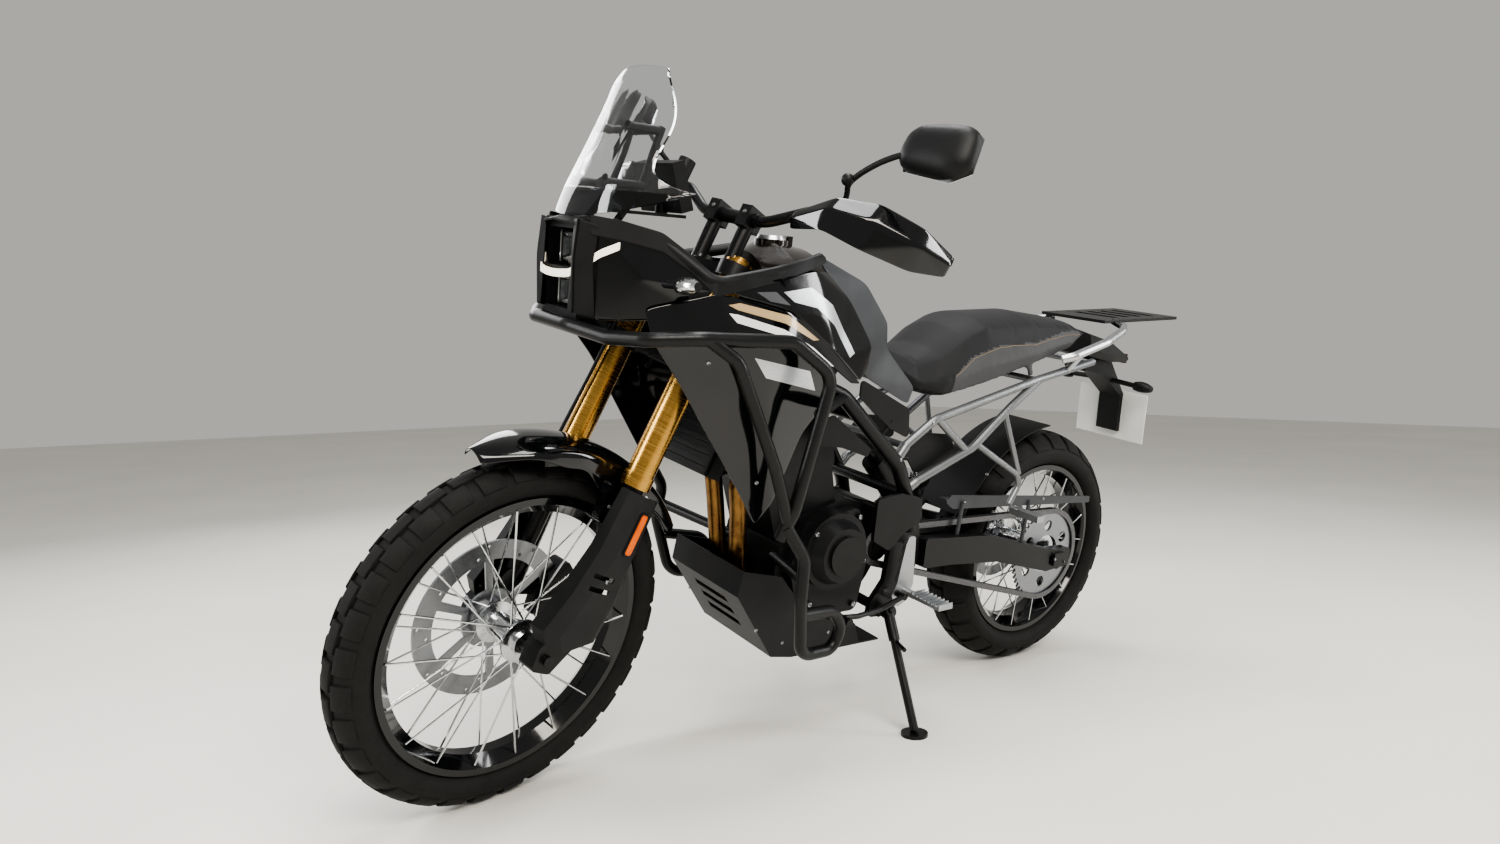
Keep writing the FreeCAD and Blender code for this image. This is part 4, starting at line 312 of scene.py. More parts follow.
# %% Metals
def metal(name, base, worn, rough, grain_mm=4.0, height_mm=0.06, stretch=None, turned=None):
    """Bare metal, whose marks can be drawn out along the axes of a turned part."""
    material, tree, shader, place = blank(name, {"Metallic": 1.0})
    if turned is not None:
        location, rotation = turned
        place = add(tree, "ShaderNodeMapping", {
            "vector_type": "TEXTURE", "Location": location, "Rotation": rotation},
            {"Vector": place}).outputs["Vector"]
    if stretch is not None:
        place = add(tree, "ShaderNodeVectorMath", {"operation": "MULTIPLY", 1: stretch},
                    {0: place}).outputs["Vector"]
    marks = clouds(tree, shader, place, grain_mm, 4.0, base, worn, 0.65)
    vary_roughness(tree, shader, marks, rough - 0.06, rough + 0.1)
    bump(tree, shader, marks.outputs["Fac"], height_mm, 0.5)
    return material


fork_turn = (tuple(steer_point), tuple(FORK.to_euler()))
gold_anodised = metal("aluminium_anodised_gold", "#a9803f", "#c39a55", 0.24, 1.6, 0.02,
                      (0.02, 0.02, 1.0), fork_turn)
cast_aluminium = metal("aluminium_cast", "#8f9193", "#b4b6b8", 0.42, 1.4, 0.12)
brushed_aluminium = metal("aluminium_brushed", "#a3a5a7", "#c2c4c6", 0.3, 1.0, 0.02, (0.05, 1.0, 1.0))
ground_steel = metal("steel_ground", "#77797c", "#96989b", 0.3, 1.2, 0.02)
chain_steel = metal("steel_oiled", "#4b4b4c", "#77777a", 0.42, 3.0, 0.05)
spoke_steel = metal("stainless_polished", "#b5b7b9", "#d2d4d6", 0.16, 6.0, 0.01)
bolt_steel = metal("steel_zinc_plated", "#8c8e90", "#a7a9ab", 0.3, 2.0, 0.03)
bronze_pipe = metal("stainless_heat_tinted", "#5c4126", "#8a6a3f", 0.3, 30.0, 0.02)
mirror_glass = metal("mirror_silvered", "#cfd2d4", "#d8dadc", 0.03, 40.0, 0.0)
reflector_film = metal("reflector_film", "#c9cacb", "#dcdddd", 0.12, 8.0, 0.01)
print("materials so far", len(bpy.data.materials))

# %% [markdown]
# Rubber, vinyl and clear plastics
#
# Tyre rubber is black with carbon and nearly matte, with a bloom of grey where it is scuffed. The seat
# is vinyl embossed like leather, here with 2.2 mm cells. The screen is clear acrylic with a smoked foot,
# the glass over the lamps is clear polycarbonate, and the tail lamp's is acrylic in a smoked red.

# %% Rubber, vinyl and clear plastics
VINYL_CELL_MM = 2.2


def rubber(name, base, bloom, rough, grain_mm=2.0):
    """Rubber with a grey bloom."""
    material, tree, shader, place = blank(name, {"IOR": 1.52, "Specular IOR Level": 0.25})
    clouds(tree, shader, place, 35.0, 6.0, base, bloom, 0.7)
    grain = noise(tree, place, grain_mm, 3.0)
    vary_roughness(tree, shader, grain, rough - 0.08, rough + 0.08)
    bump(tree, shader, grain.outputs["Fac"], 0.2, 0.5)
    return material


def vinyl(name, base, worn, rough):
    """Seat vinyl embossed with small round cells."""
    material, tree, shader, place = blank(name, {
        "IOR": 1.5, "Sheen Weight": 0.03, "Specular IOR Level": 0.2})
    cells = add(tree, "ShaderNodeTexVoronoi", {
        "feature": "SMOOTH_F1", "Scale": PER_METRE / VINYL_CELL_MM}, {"Vector": place})
    wear = clouds(tree, shader, place, 90.0, 4.0, base, worn)
    vary_roughness(tree, shader, wear, rough - 0.05, rough + 0.06)
    bump(tree, shader, cells.outputs["Distance"], 0.35, 0.5)
    return material


def clear(name, base, rough=0.02):
    """A clear or dyed sheet with a faint film of dust."""
    material, tree, shader, place = blank(name, {
        "Transmission Weight": 1.0, "IOR": 1.49, "Base Color": colour(base)})
    dust = noise(tree, place, 25.0, 5.0, 0.7)
    vary_roughness(tree, shader, dust, rough, rough + 0.03)
    return material


tyre_rubber = rubber("tyre_rubber", "#0a0a0a", "#151514", 0.74)
grip_rubber = rubber("grip_rubber", "#121212", "#191919", 0.7, 1.5)
hose_rubber = rubber("hose_rubber", "#0f0f10", "#161617", 0.5, 1.5)
seat_vinyl = vinyl("vinyl_dark_grey", "#151618", "#1c1d1f", 0.6)
side_vinyl = vinyl("vinyl_light_grey", "#3a3b3d", "#434446", 0.6)
acrylic_clear = clear("acrylic_clear", "#f2f4f5")
acrylic_smoked = clear("acrylic_smoked", "#3a3d40")
lamp_glass = clear("polycarbonate_clear", "#f6f8f9")
red_acrylic = clear("acrylic_red_smoked", "#6a0808", 0.08)
print("materials so far", len(bpy.data.materials))

# %% [markdown]
# Dressing the solid parts
#
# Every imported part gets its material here, also one that a finer shape stands for later, because a
# rounded copy takes its material from its solid. The table below says what each one is made of on the
# real machine, and a loop hands the materials out.

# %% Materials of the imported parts
made_of = {
    black_powder: ("main_frame", "crash_bars", "luggage_rack", "swingarm", "side_stand", "handlebar",
                   "foot_controls", "rear_shock", "muffler", "triple_clamps", "fork_lowers"),
    skid_paint: ("skid_plate",),
    silver_paint: ("subframe",),
    engine_paint: ("engine_block", "engine_side_covers", "rear_caliper", "front_caliper"),
    gold_anodised: ("fork_tubes",),
    cast_aluminium: ("footpegs",),
    ground_steel: ("front_disc", "rear_disc", "rear_sprocket"),
    chain_steel: ("chain",),
    spoke_steel: ("front_hub_and_spokes", "rear_hub_and_spokes"),
    bronze_pipe: ("exhaust_pipes",),
    tyre_rubber: ("front_tyre", "rear_tyre"),
    grip_rubber: ("grips",),
    gloss_black: ("front_rim", "rear_rim", "front_mudguard", "handguards", "tank_side_panels",
                  "side_fairings", "radiator_cowls"),
    brown_gloss: ("fuel_tank",),
    grey_moulding: ("knee_panels", "chain_guard"),
    black_moulding: ("side_covers", "nose_fairing", "cockpit", "indicators", "hand_controls", "mirrors",
                     "radiator", "rear_mudguard", "headlamp"),
    dark_moulding: ("fork_guards", "tail_panels"),
    seat_vinyl: ("seat",),
    acrylic_clear: ("windscreen",),
    lamp_glass: ("headlamp_glass",),
    red_acrylic: ("tail_lamp",),
    brushed_aluminium: ("grab_rails", "tank_filler_cap"),
    plate_enamel: ("number_plate",),
}
for material, names in made_of.items():
    for name in names:
        node = nodes[name]
        node.data.materials.clear()
        node.data.materials.append(material)
missing = sorted(set(nodes) - {name for names in made_of.values() for name in names})
print("parts with no material yet:", missing)

# %% [markdown]
# Finishing a piece
#
# A piece is drawn as a table of points and faces, and then becomes an object. Modifiers are handy while
# it is being shaped, but what is handed over is plain mesh. `hand_over` evaluates them, shades the piece
# smooth with its sharp edges kept, hangs the piece on the body that carries it, and hides the solids
# that it stands for.

# %% From modifiers to a finished piece
def new_piece(name, mesh, material):
    """An object at the origin with one material."""
    piece = bpy.data.objects.new(name, mesh)
    bpy.context.scene.collection.objects.link(piece)
    piece.data.materials.clear()
    piece.data.materials.append(material)
    return piece


def piece_from(table, name, material):
    """An object from a table of points and faces, which is used up."""
    mesh = bpy.data.meshes.new(name)
    table.to_mesh(mesh)
    table.free()
    return new_piece(name, mesh, material)


def evaluated_mesh(item):
    """The plain mesh that an object's modifiers or curve settings give."""
    bpy.context.view_layer.update()
    graph = bpy.context.evaluated_depsgraph_get()
    return bpy.data.meshes.new_from_object(item.evaluated_get(graph))


def bake_modifiers(piece):
    """Turns the evaluated object into its own plain mesh."""
    baked = evaluated_mesh(piece)
    piece.modifiers.clear()
    piece.data = baked
    return piece


def hand_over(piece, body, hides=(), sharp=38.0):
    """Shades a piece, hangs it on its body and hides the solids that it stands for."""
    if piece.modifiers:
        bake_modifiers(piece)
    piece.data.shade_smooth()
    piece.data.set_sharp_from_angle(angle=math.radians(sharp))
    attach(piece, body)
    if hides:
        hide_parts(*hides)
    print(piece.name, "faces", len(piece.data.polygons))
    return piece


def give_wall(piece, thickness_mm, offset=-1.0):
    """Gives a skin a wall, on its inner side, or on its outer side where the offset is 1."""
    wall = piece.modifiers.new("wall", "SOLIDIFY")
    wall.thickness = thickness_mm * MM
    wall.offset = offset


def round_edges(piece, width_mm, segments=2, angle=40.0):
    """A small radius on every sharp edge, as a mould or a file leaves it."""
    edge = piece.modifiers.new("rounded", "BEVEL")
    edge.width = width_mm * MM
    edge.segments = segments
    edge.limit_method = "ANGLE"
    edge.angle_limit = math.radians(angle)


print("helpers for pieces are ready")

# %% [markdown]
# Moulded skins
#
# The gloss panels beside the tank and the radiator are thin shells pulled over a smooth mould. Each is
# started from the same corner points as its solid, a handful of flat facets. The facets are cut fine,
# and then every inner point is moved towards the middle of its neighbours a few times, which wears the
# creases down to soft curves as sanding does, while the rim stays where the panel meets its neighbour.
# Solidify gives the wall, and a small bevel the rounded rim. A subdivision surface would do too, but it
# pulls a shell with few facets away from its rim.

# %% Helpers for skins
def add_facet(table, corners, looks):
    """A face that looks in a given direction."""
    face = table.faces.new(corners)
    face.normal_update()
    if face.normal.dot(looks) < 0:
        face.normal_flip()


def cut_fine(table, rounds=4):
    """Cuts every triangle into four, as often as asked."""
    bmesh.ops.triangulate(table, faces=table.faces[:])
    for _ in range(rounds):
        bmesh.ops.subdivide_edges(table, edges=table.edges[:], cuts=1, use_grid_fill=True)


def relax(table, rounds, rim_rounds):
    """Wears creases down, and rounds the rim's corners a little."""
    rim = {vertex: [edge.other_vert(vertex) for edge in vertex.link_edges if edge.is_boundary]
           for vertex in table.verts if vertex.is_boundary}
    inner = [vertex for vertex in table.verts if vertex not in rim]
    for _ in range(rim_rounds):
        moved = {vertex: (vertex.co * 2 + near[0].co + near[1].co) / 4 for vertex, near in rim.items()}
        for vertex, place in moved.items():
            vertex.co = place
    for _ in range(rounds):
        bmesh.ops.smooth_vert(table, verts=inner, factor=0.5,
                              use_axis_x=True, use_axis_y=True, use_axis_z=True)


def skin(name, points, facets, material, wall_mm=3.0, rounds=16, rim_rounds=5):
    """A moulded shell from corner points of the upright machine's left side, and its mirror twin."""
    table = bmesh.new()
    for side in SIDES:
        corners = [table.verts.new(bike(x, side * y, z)) for x, y, z in points]
        for facet in facets:
            add_facet(table, [corners[index] for index in facet], bike_way(0, side, 0))
    cut_fine(table)
    relax(table, rounds, rim_rounds)
    piece = piece_from(table, name, material)
    give_wall(piece, wall_mm)
    round_edges(piece, 0.9, 2, 55.0)
    return bake_modifiers(piece)


print("helpers for skins are ready")

# %% [markdown]
# The four panels
#
# Each panel is a list of corner points of the upright machine, ahead of the rear axle, to its left and
# up from the floor, in millimetres, and a list of the facets between them.

# %% Panels beside the tank and the radiator
tank_side = skin("tank_side_skin", [
    (1196, 211, 1012), (1090, 208, 1042), (985, 190, 1058), (940, 168, 1056), (880, 174, 1004),
    (810, 176, 915), (816, 178, 868), (846, 190, 842), (925, 204, 900), (1055, 214, 984), (960, 204, 980),
], [(0, 1, 9), (1, 2, 10), (1, 10, 9), (2, 3, 4), (2, 4, 10), (4, 5, 8), (4, 8, 10), (5, 6, 7), (5, 7, 8),
    (8, 9, 10)], gloss_black)
upper_fairing = skin("upper_fairing_skin", [
    (1345, 168, 975), (1227, 214, 1010), (1196, 214, 1008), (1055, 218, 980), (925, 208, 896),
    (846, 194, 838), (880, 206, 842), (960, 228, 884), (1090, 244, 930), (1200, 240, 925), (1335, 184, 925),
], [(0, 1, 10), (1, 9, 10), (1, 2, 9), (2, 3, 9), (3, 8, 9), (3, 7, 8), (3, 4, 7), (4, 6, 7), (4, 5, 6)],
    gloss_black, rounds=12)
lower_cowl = skin("lower_cowl_skin", [
    (1334, 182, 922), (1200, 236, 922), (1090, 240, 927), (962, 224, 881), (930, 210, 826),
    (1000, 208, 745), (1052, 204, 610), (1090, 202, 568), (1128, 198, 630), (1268, 178, 842),
    (1110, 226, 800),
], [(0, 1, 9), (1, 2, 10), (1, 10, 9), (2, 3, 10), (3, 4, 10), (4, 5, 10), (5, 6, 10), (6, 7, 8), (6, 8, 10),
    (8, 9, 10)], gloss_black)
knee_panel = skin("knee_panel_skin", [
    (938, 148, 1066), (928, 128, 1084), (800, 128, 1036), (722, 124, 955), (718, 128, 898), (622, 128, 812),
    (640, 132, 775), (800, 150, 846), (806, 160, 916), (876, 160, 1006),
], [(0, 1, 2), (0, 2, 9), (2, 3, 9), (3, 8, 9), (3, 4, 8), (4, 7, 8), (4, 5, 7), (5, 6, 7)], grey_moulding,
    rounds=24)
hand_over(tank_side, "chassis", ["tank_side_panels"])
hand_over(upper_fairing, "chassis", ["side_fairings"])
hand_over(lower_cowl, "chassis", ["radiator_cowls"])
hand_over(knee_panel, "chassis", ["knee_panels"])

# %% [markdown]
# Colour fields
#
# The bright fields on the gloss panels are vinyl film stuck on: a few tenths of a millimetre thick, cut
# to a shape, and following the panel's curve. Each is drawn as a flat outline seen from the side, filled
# with small triangles, and every point is then sent straight in until it meets the panel. They could be
# part of the panel's material, but a film has its own edge, and its outline stays crisp at any size.

# %% Vinyl films
FILM_MM = 0.2
START_BESIDE = 0.5


def film(name, code, deep, rough, metallic):
    """A glossy vinyl film with a fine flake."""
    material, tree, shader, place = blank(name, {
        "Metallic": metallic, "Coat Weight": 0.6, "Coat Roughness": 0.06})
    flake = clouds(tree, shader, place, 2.0, 3.0, code, deep)
    vary_roughness(tree, shader, flake, rough - 0.04, rough + 0.05)
    return material


silver_film = film("vinyl_film_silver", "#b3b6ba", "#c6c9cc", 0.3, 0.55)
sand_film = film("vinyl_film_sand", "#a58c66", "#b59b73", 0.36, 0.2)
white_film = film("vinyl_film_white", "#d6d7d6", "#dfe0df", 0.3, 0.0)
grey_film = film("vinyl_film_grey", "#4a4c50", "#54565a", 0.34, 0.3)


def decal(name, outline, panel, material, lift_mm=0.25):
    """A film cut to an outline of (x, z) points and laid on a panel from outside, on both sides."""
    table = bmesh.new()
    for side in SIDES:
        corners = [table.verts.new((x * MM, side * START_BESIDE, z * MM)) for x, z in outline]
        add_facet(table, corners, Vector((0.0, side, 0.0)))
    cut_fine(table)
    table.verts.ensure_lookup_table()
    lost = []
    for vertex in table.verts:
        side = 1 if vertex.co.y > 0 else -1
        inward = (BIKE.to_3x3() @ Vector((0.0, -side, 0.0))).normalized()
        hit, place, normal, _ = panel.ray_cast(BIKE @ vertex.co, inward)
        if hit:
            vertex.co = place + normal * lift_mm * MM
        else:
            lost.append(vertex)
    bmesh.ops.delete(table, geom=lost, context="VERTS")
    piece = piece_from(table, name, material)
    give_wall(piece, FILM_MM)
    return hand_over(piece, "chassis", sharp=60.0)


decal("fairing_film_sand", [(1206, 992), (1180, 996), (1068, 976), (986, 930), (1006, 930), (1080, 962),
                            (1186, 984)], upper_fairing, sand_film)
decal("fairing_film_white", [(1206, 978), (1186, 976), (1086, 952), (1010, 918), (950, 880), (966, 882),
                             (1026, 912), (1094, 940), (1190, 962)], upper_fairing, white_film)
decal("cowl_film_silver", [(1150, 900), (1010, 872), (985, 832), (1118, 862)], lower_cowl, silver_film)
decal("tank_film_silver", [(1078, 1018), (1004, 1028), (944, 996), (868, 900), (884, 892), (936, 956),
                           (990, 990), (1050, 1000)], tank_side, silver_film)
decal("tank_film_grey", [(1140, 1016), (1096, 1018), (1060, 994), (1108, 1000)], tank_side, grey_film)

# %% [markdown]
# One lug, many times
#
# A knobby tyre repeats a few rubber blocks round a plain carcass. A tree of Geometry Nodes does the
# repeating: it takes one block, already at its height above the axle, and puts copies of it at even
# turns about the axle. The copies are then made real geometry, because instances are lost on export.
# The seam's stitches and the screws need trees of their own, which end in the same three nodes, so
# those nodes are a helper.

# %% A tree that repeats a part round the axle
def geometry_tree(name, inputs):
    """An empty tree with a geometry in and out, and the named inputs."""
    tree = bpy.data.node_groups.new(name, "GeometryNodeTree")
    tree.interface.new_socket("Geometry", in_out="INPUT", socket_type="NodeSocketGeometry")
    for label, kind in inputs:
        tree.interface.new_socket(label, in_out="INPUT", socket_type=kind)
    tree.interface.new_socket("Geometry", in_out="OUTPUT", socket_type="NodeSocketGeometry")
    return tree, tree.nodes.new("NodeGroupInput").outputs, tree.nodes.new("NodeGroupOutput").inputs


def set_inputs(modifier, values):
    """Sets a modifier's inputs by the identifier of each socket."""
    for item in modifier.node_group.interface.items_tree:
        if item.in_out == "INPUT" and item.name in values:
            modifier[item.identifier] = values[item.name]


def make_copies(tree, result, points, part, rotation, material):
    """Puts a copy of a part on every point, and makes the copies real geometry with a material."""
    copies = add(tree, "GeometryNodeInstanceOnPoints", links={
        "Points": points, "Instance": part, "Rotation": rotation})
    real = add(tree, "GeometryNodeRealizeInstances", links={"Geometry": copies.outputs["Instances"]})
    coated = add(tree, "GeometryNodeSetMaterial", links={
        "Geometry": real.outputs["Geometry"], "Material": material})
    tree.links.new(coated.outputs["Geometry"], result["Geometry"])


ring_tree, given, result = geometry_tree("ring_of_copies", [
    ("Count", "NodeSocketInt"), ("Phase", "NodeSocketFloat"), ("Material", "NodeSocketMaterial")])
line = add(ring_tree, "GeometryNodeMeshLine", links={"Count": given["Count"]})
line.inputs["Offset"].default_value = (0.0, 0.0, 0.0)
share = add(ring_tree, "ShaderNodeMath", {"operation": "DIVIDE", 0: 2 * math.pi}, {1: given["Count"]})
index = add(ring_tree, "GeometryNodeInputIndex")
turn = add(ring_tree, "ShaderNodeMath", {"operation": "MULTIPLY_ADD"},
           {0: index.outputs["Index"], 1: share.outputs[0], 2: given["Phase"]})
about_axle = add(ring_tree, "ShaderNodeCombineXYZ", links={"Y": turn.outputs[0]})
make_copies(ring_tree, result, line.outputs["Mesh"], given["Geometry"], about_axle.outputs["Vector"],
            given["Material"])


def ring_of(part, count, phase, material):
    """Repeats a part's mesh evenly about the axle."""
    repeat = part.modifiers.new("ring", "NODES")
    repeat.node_group = ring_tree
    set_inputs(repeat, {"Count": count, "Phase": phase, "Material": material})
    return bake_modifiers(part)


def joined(name, parts, material):
    """One mesh out of several pieces, which are used up."""
    table = bmesh.new()
    for part in parts:
        table.from_mesh(part.data)
        bpy.data.objects.remove(part)
    return piece_from(table, name, material)


print("the tree has", len(ring_tree.nodes), "nodes")

# %% [markdown]
# Tyres
#
# The carcass is a closed outline spun about the axle: two rubber walls that bulge past the rim, and the
# floor of the tread. The blocks stand on that floor in three rows, and their tops follow the crown of
# the tyre, so each is a small grid between two heights and not a box. Like the real ones they are wider
# at the foot than at the top, and have a rounded edge where the rubber has begun to wear.

# %% Helpers for things spun about an axle
def round_axle(level, side, angle):
    """A point at a distance from the axle, in millimetres and radians."""
    return Vector((level * math.cos(angle), side, -level * math.sin(angle))) * MM


def arc_through(first, middle, last, count):
    """Points on the circle through three points, from the first to the last."""
    (ax, ay), (bx, by), (cx, cy) = first, middle, last
    d = 2 * (ax * (by - cy) + bx * (cy - ay) + cx * (ay - by))
    a2, b2, c2 = ax * ax + ay * ay, bx * bx + by * by, cx * cx + cy * cy
    centre_x = (a2 * (by - cy) + b2 * (cy - ay) + c2 * (ay - by)) / d
    centre_y = (a2 * (cx - bx) + b2 * (ax - cx) + c2 * (bx - ax)) / d
    radius = math.hypot(ax - centre_x, ay - centre_y)
    start = math.atan2(ay - centre_y, ax - centre_x)
    through = (math.atan2(by - centre_y, bx - centre_x) - start) % (2 * math.pi)
    end = (math.atan2(cy - centre_y, cx - centre_x) - start) % (2 * math.pi)
    if through > end:
        end -= 2 * math.pi
    return [(centre_x + radius * math.cos(start + end * step / count),
             centre_y + radius * math.sin(start + end * step / count)) for step in range(count + 1)]


def spun(name, outline, material, segments=160):
    """A closed outline of (distance, side) points spun about the axle."""
    table = bmesh.new()
    rings = [[table.verts.new(round_axle(level, side, 2 * math.pi * step / segments))
              for level, side in outline] for step in range(segments)]
    for here, after in zip(rings, rings[1:] + rings[:1]):
        for index in range(len(outline)):
            other = (index + 1) % len(outline)
            table.faces.new((here[index], after[index], after[other], here[other]))
    bmesh.ops.recalc_face_normals(table, faces=table.faces[:])
    return piece_from(table, name, material)


print("an arc of four steps:", [round(value, 1) for point in arc_through((0, 1), (1, 0), (0, -1), 4)
                               for value in point])

# %% [markdown]
# A block
#
# A block is two small grids, its top and its wider foot, with walls between.

# %% One block of the tread
ACROSS_BLOCK = (-1.0, 0.0, 1.0)
FOOT_SPREAD = 0.004


def tread_block(name, tops, feet, half_angle):
    """A block of rubber over a strip of the tread, given by its top's and its foot's outline."""
    table = bmesh.new()
    top, foot = ([[table.verts.new(round_axle(level, side, half * share)) for share in ACROSS_BLOCK]
                  for level, side in outline]
                 for outline, half in ((tops, half_angle), (feet, half_angle + FOOT_SPREAD)))
    last = len(tops) - 1
    for row in range(last):
        for step in range(2):
            table.faces.new((top[row][step], top[row + 1][step],
                             top[row + 1][step + 1], top[row][step + 1]))
        for step in (0, 2):
            table.faces.new((top[row][step], foot[row][step], foot[row + 1][step], top[row + 1][step]))
    for row in (0, last):
        for step in range(2):
            table.faces.new((top[row][step], top[row][step + 1], foot[row][step + 1], foot[row][step]))
    for row in range(last):
        for step in range(2):
            table.faces.new((foot[row][step], foot[row][step + 1],
                             foot[row + 1][step + 1], foot[row + 1][step]))
    bmesh.ops.recalc_face_normals(table, faces=table.faces[:])
    block = piece_from(table, name, tyre_rubber)
    round_edges(block, 1.4, 2, 35.0)
    return bake_modifiers(block)


print("helpers for tyres are ready")

# %% [markdown]
# Two tyres
#
# The centre blocks and the shoulder blocks are set half a pitch apart, so that one is always on the
# floor. A shoulder block also has a skirt that reaches down the side wall, beyond the tread. Two fine
# ribs run round each side wall. Lengths are in millimetres.

# %% Two knobby tyres
TREAD_DEPTH = 7.0
GROOVE = math.radians(2.6)
ROW_GAP = 5.0
SHOULDER_SHARE = 0.86
WIDEST_SHARE = 0.42
BEAD_HEIGHT = 12.0
RIM_GAP = 0.3
SEAT_INSET = 7.3
WALL_STEPS = 14
WALL_RIBS = (4, 7)
RIB_HEIGHT = 0.5
FLOOR_STEPS = 12
SKIRT_DROP, SKIRT_OUT = 9.0, 2.5
FOOT_DROP, FOOT_IN = 3.0, 2.0
SKIRT_FOOT_DROP, SKIRT_FOOT_IN = 14.0, 1.0


def knobby_tyre(name, radius, width, crown, rim_radius, rim_width, centre_half, pitches, lowest):
    """A tyre about its own axle, with a block at the place where it stands on the floor."""
    half = width / 2
    seat_half = rim_width / 2 - SEAT_INSET
    shoulder = half * SHOULDER_SHARE

    def crown_at(side):
        """The tread's height above the axle, at a distance to the side of its middle."""
        return radius - crown + math.sqrt(crown ** 2 - side ** 2)

    widest = (rim_radius + WIDEST_SHARE * (radius - rim_radius), half)
    wall = arc_through((rim_radius + BEAD_HEIGHT, seat_half), widest,
                       (crown_at(shoulder) - TREAD_DEPTH, shoulder), WALL_STEPS)
    for index in WALL_RIBS:
        level, side = wall[index]
        wall[index] = (level, side + RIB_HEIGHT)
    floor = [(crown_at(side) - TREAD_DEPTH, side)
             for side in [shoulder * (1 - 2 * step / FLOOR_STEPS) for step in range(1, FLOOR_STEPS)]]
    outline = [(rim_radius + RIM_GAP, seat_half)] + wall + floor
    outline += [(level, -side) for level, side in reversed(wall)] + [(rim_radius + RIM_GAP, -seat_half)]
    carcass = spun(name + "_carcass", outline, tyre_rubber)

    pitch = 2 * math.pi / pitches
    rows = [centre_half * share for share in (-1.0, -0.5, 0.0, 0.5, 1.0)]
    centre = tread_block(name + "_centre", [(crown_at(side), side) for side in rows],
                         [(crown_at(side) - TREAD_DEPTH - 1, side * 1.06) for side in rows],
                         (pitch - GROOVE) / 2)
    parts = [carcass, ring_of(centre, pitches, lowest, tyre_rubber)]
    inner = centre_half + ROW_GAP
    for side in (-1, 1):
        reach = [inner + (shoulder - inner) * share for share in (0.0, 0.33, 0.66, 1.0)]
        tops = [(crown_at(value), side * value) for value in reach]
        tops.append((crown_at(shoulder) - SKIRT_DROP,
                     side * (shoulder + WIDEST_SHARE * (half - shoulder) + SKIRT_OUT)))
        feet = [(crown_at(value) - TREAD_DEPTH - 1, side * (value - 0.6)) for value in reach]
        feet[-1] = (crown_at(shoulder) - TREAD_DEPTH - FOOT_DROP, side * (shoulder - FOOT_IN))
        feet.append((crown_at(shoulder) - SKIRT_FOOT_DROP, side * (shoulder - SKIRT_FOOT_IN)))
        block = tread_block(name + "_shoulder", tops, feet, (pitch - GROOVE * 1.3) / 2)
        parts.append(ring_of(block, pitches, lowest + pitch / 2, tyre_rubber))
    return joined(name, parts, tyre_rubber)


def lowest_angle(place):
    """The turn about the axle that points straight down."""
    down = place.to_3x3().inverted() @ Vector((0.0, 0.0, -1.0))
    return math.atan2(-down.z, down.x)


FRONT_WHEEL = Matrix.Translation(front_axle) @ FORK.to_3x3().to_4x4()
REAR_WHEEL = Matrix.Translation(rear_axle) @ BIKE.to_3x3().to_4x4()
front_tyre = knobby_tyre("front_knobby_tyre", radius=347.5, width=90.0, crown=50.0, rim_radius=268.0,
                         rim_width=68.0, centre_half=13.0, pitches=32, lowest=lowest_angle(FRONT_WHEEL))
front_tyre.data.transform(FRONT_WHEEL)
hand_over(front_tyre, "front_wheel", ["front_tyre"], 30.0)
rear_tyre = knobby_tyre("rear_knobby_tyre", radius=327.0, width=140.0, crown=76.0, rim_radius=230.0,
                        rim_width=104.0, centre_half=18.0, pitches=26, lowest=lowest_angle(REAR_WHEEL))
rear_tyre.data.transform(REAR_WHEEL)
hand_over(rear_tyre, "rear_wheel", ["rear_tyre"], 30.0)

# %% [markdown]
# The seat
#
# The real seat is foam under one tight vinyl cover, with a lighter patch at the passenger's sides and a
# stitched seam between the two. Its solid gives the right size with hard edges. The mesh is remeshed to
# even squares, drawn in by 2.5 mm, and blown up as cloth, so that it crowns between its edges as foam
# does. How far a point may move is capped, which keeps the seat in the space that the frame leaves.

# %% Helpers for foam and seams
WELD_MM = 0.02
FOAM_FRAMES = 20
FOAM_STIFFNESS = 30.0
SLIMMER_MM = 2.5


def welded_copy(name, node_name, material):
    """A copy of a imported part's mesh with its loose triangles joined."""
    table = bmesh.new()
    table.from_mesh(nodes[node_name].data)
    bmesh.ops.remove_doubles(table, verts=table.verts, dist=WELD_MM * MM)
    return piece_from(table, name, material)


def puff(piece, voxel_mm, pressure, cap_mm):
    """Blows a closed mesh up as cloth and keeps each point within a cap of where it was."""
    remesh = piece.modifiers.new("even", "REMESH")
    remesh.mode = "VOXEL"
    remesh.voxel_size = voxel_mm * MM
    bake_modifiers(piece)
    shrink = piece.modifiers.new("slim", "DISPLACE")
    shrink.strength = -SLIMMER_MM * MM
    shrink.mid_level = 0.0
    bake_modifiers(piece)
    start = [vertex.co.copy() for vertex in piece.data.vertices]
    cloth = piece.modifiers.new("foam", "CLOTH")
    cloth.settings.use_pressure = True
    cloth.settings.uniform_pressure_force = pressure
    cloth.settings.effector_weights.gravity = 0.0
    cloth.settings.tension_stiffness = FOAM_STIFFNESS
    cloth.settings.compression_stiffness = FOAM_STIFFNESS
    cloth.settings.mass = 0.3
    for frame_number in range(1, FOAM_FRAMES + 1):
        bpy.context.scene.frame_set(frame_number)
    bake_modifiers(piece)
    bpy.context.scene.frame_set(1)
    for vertex, before in zip(piece.data.vertices, start):
        moved = vertex.co - before
        if moved.length > cap_mm * MM:
            vertex.co = before + moved.normalized() * cap_mm * MM
    return piece


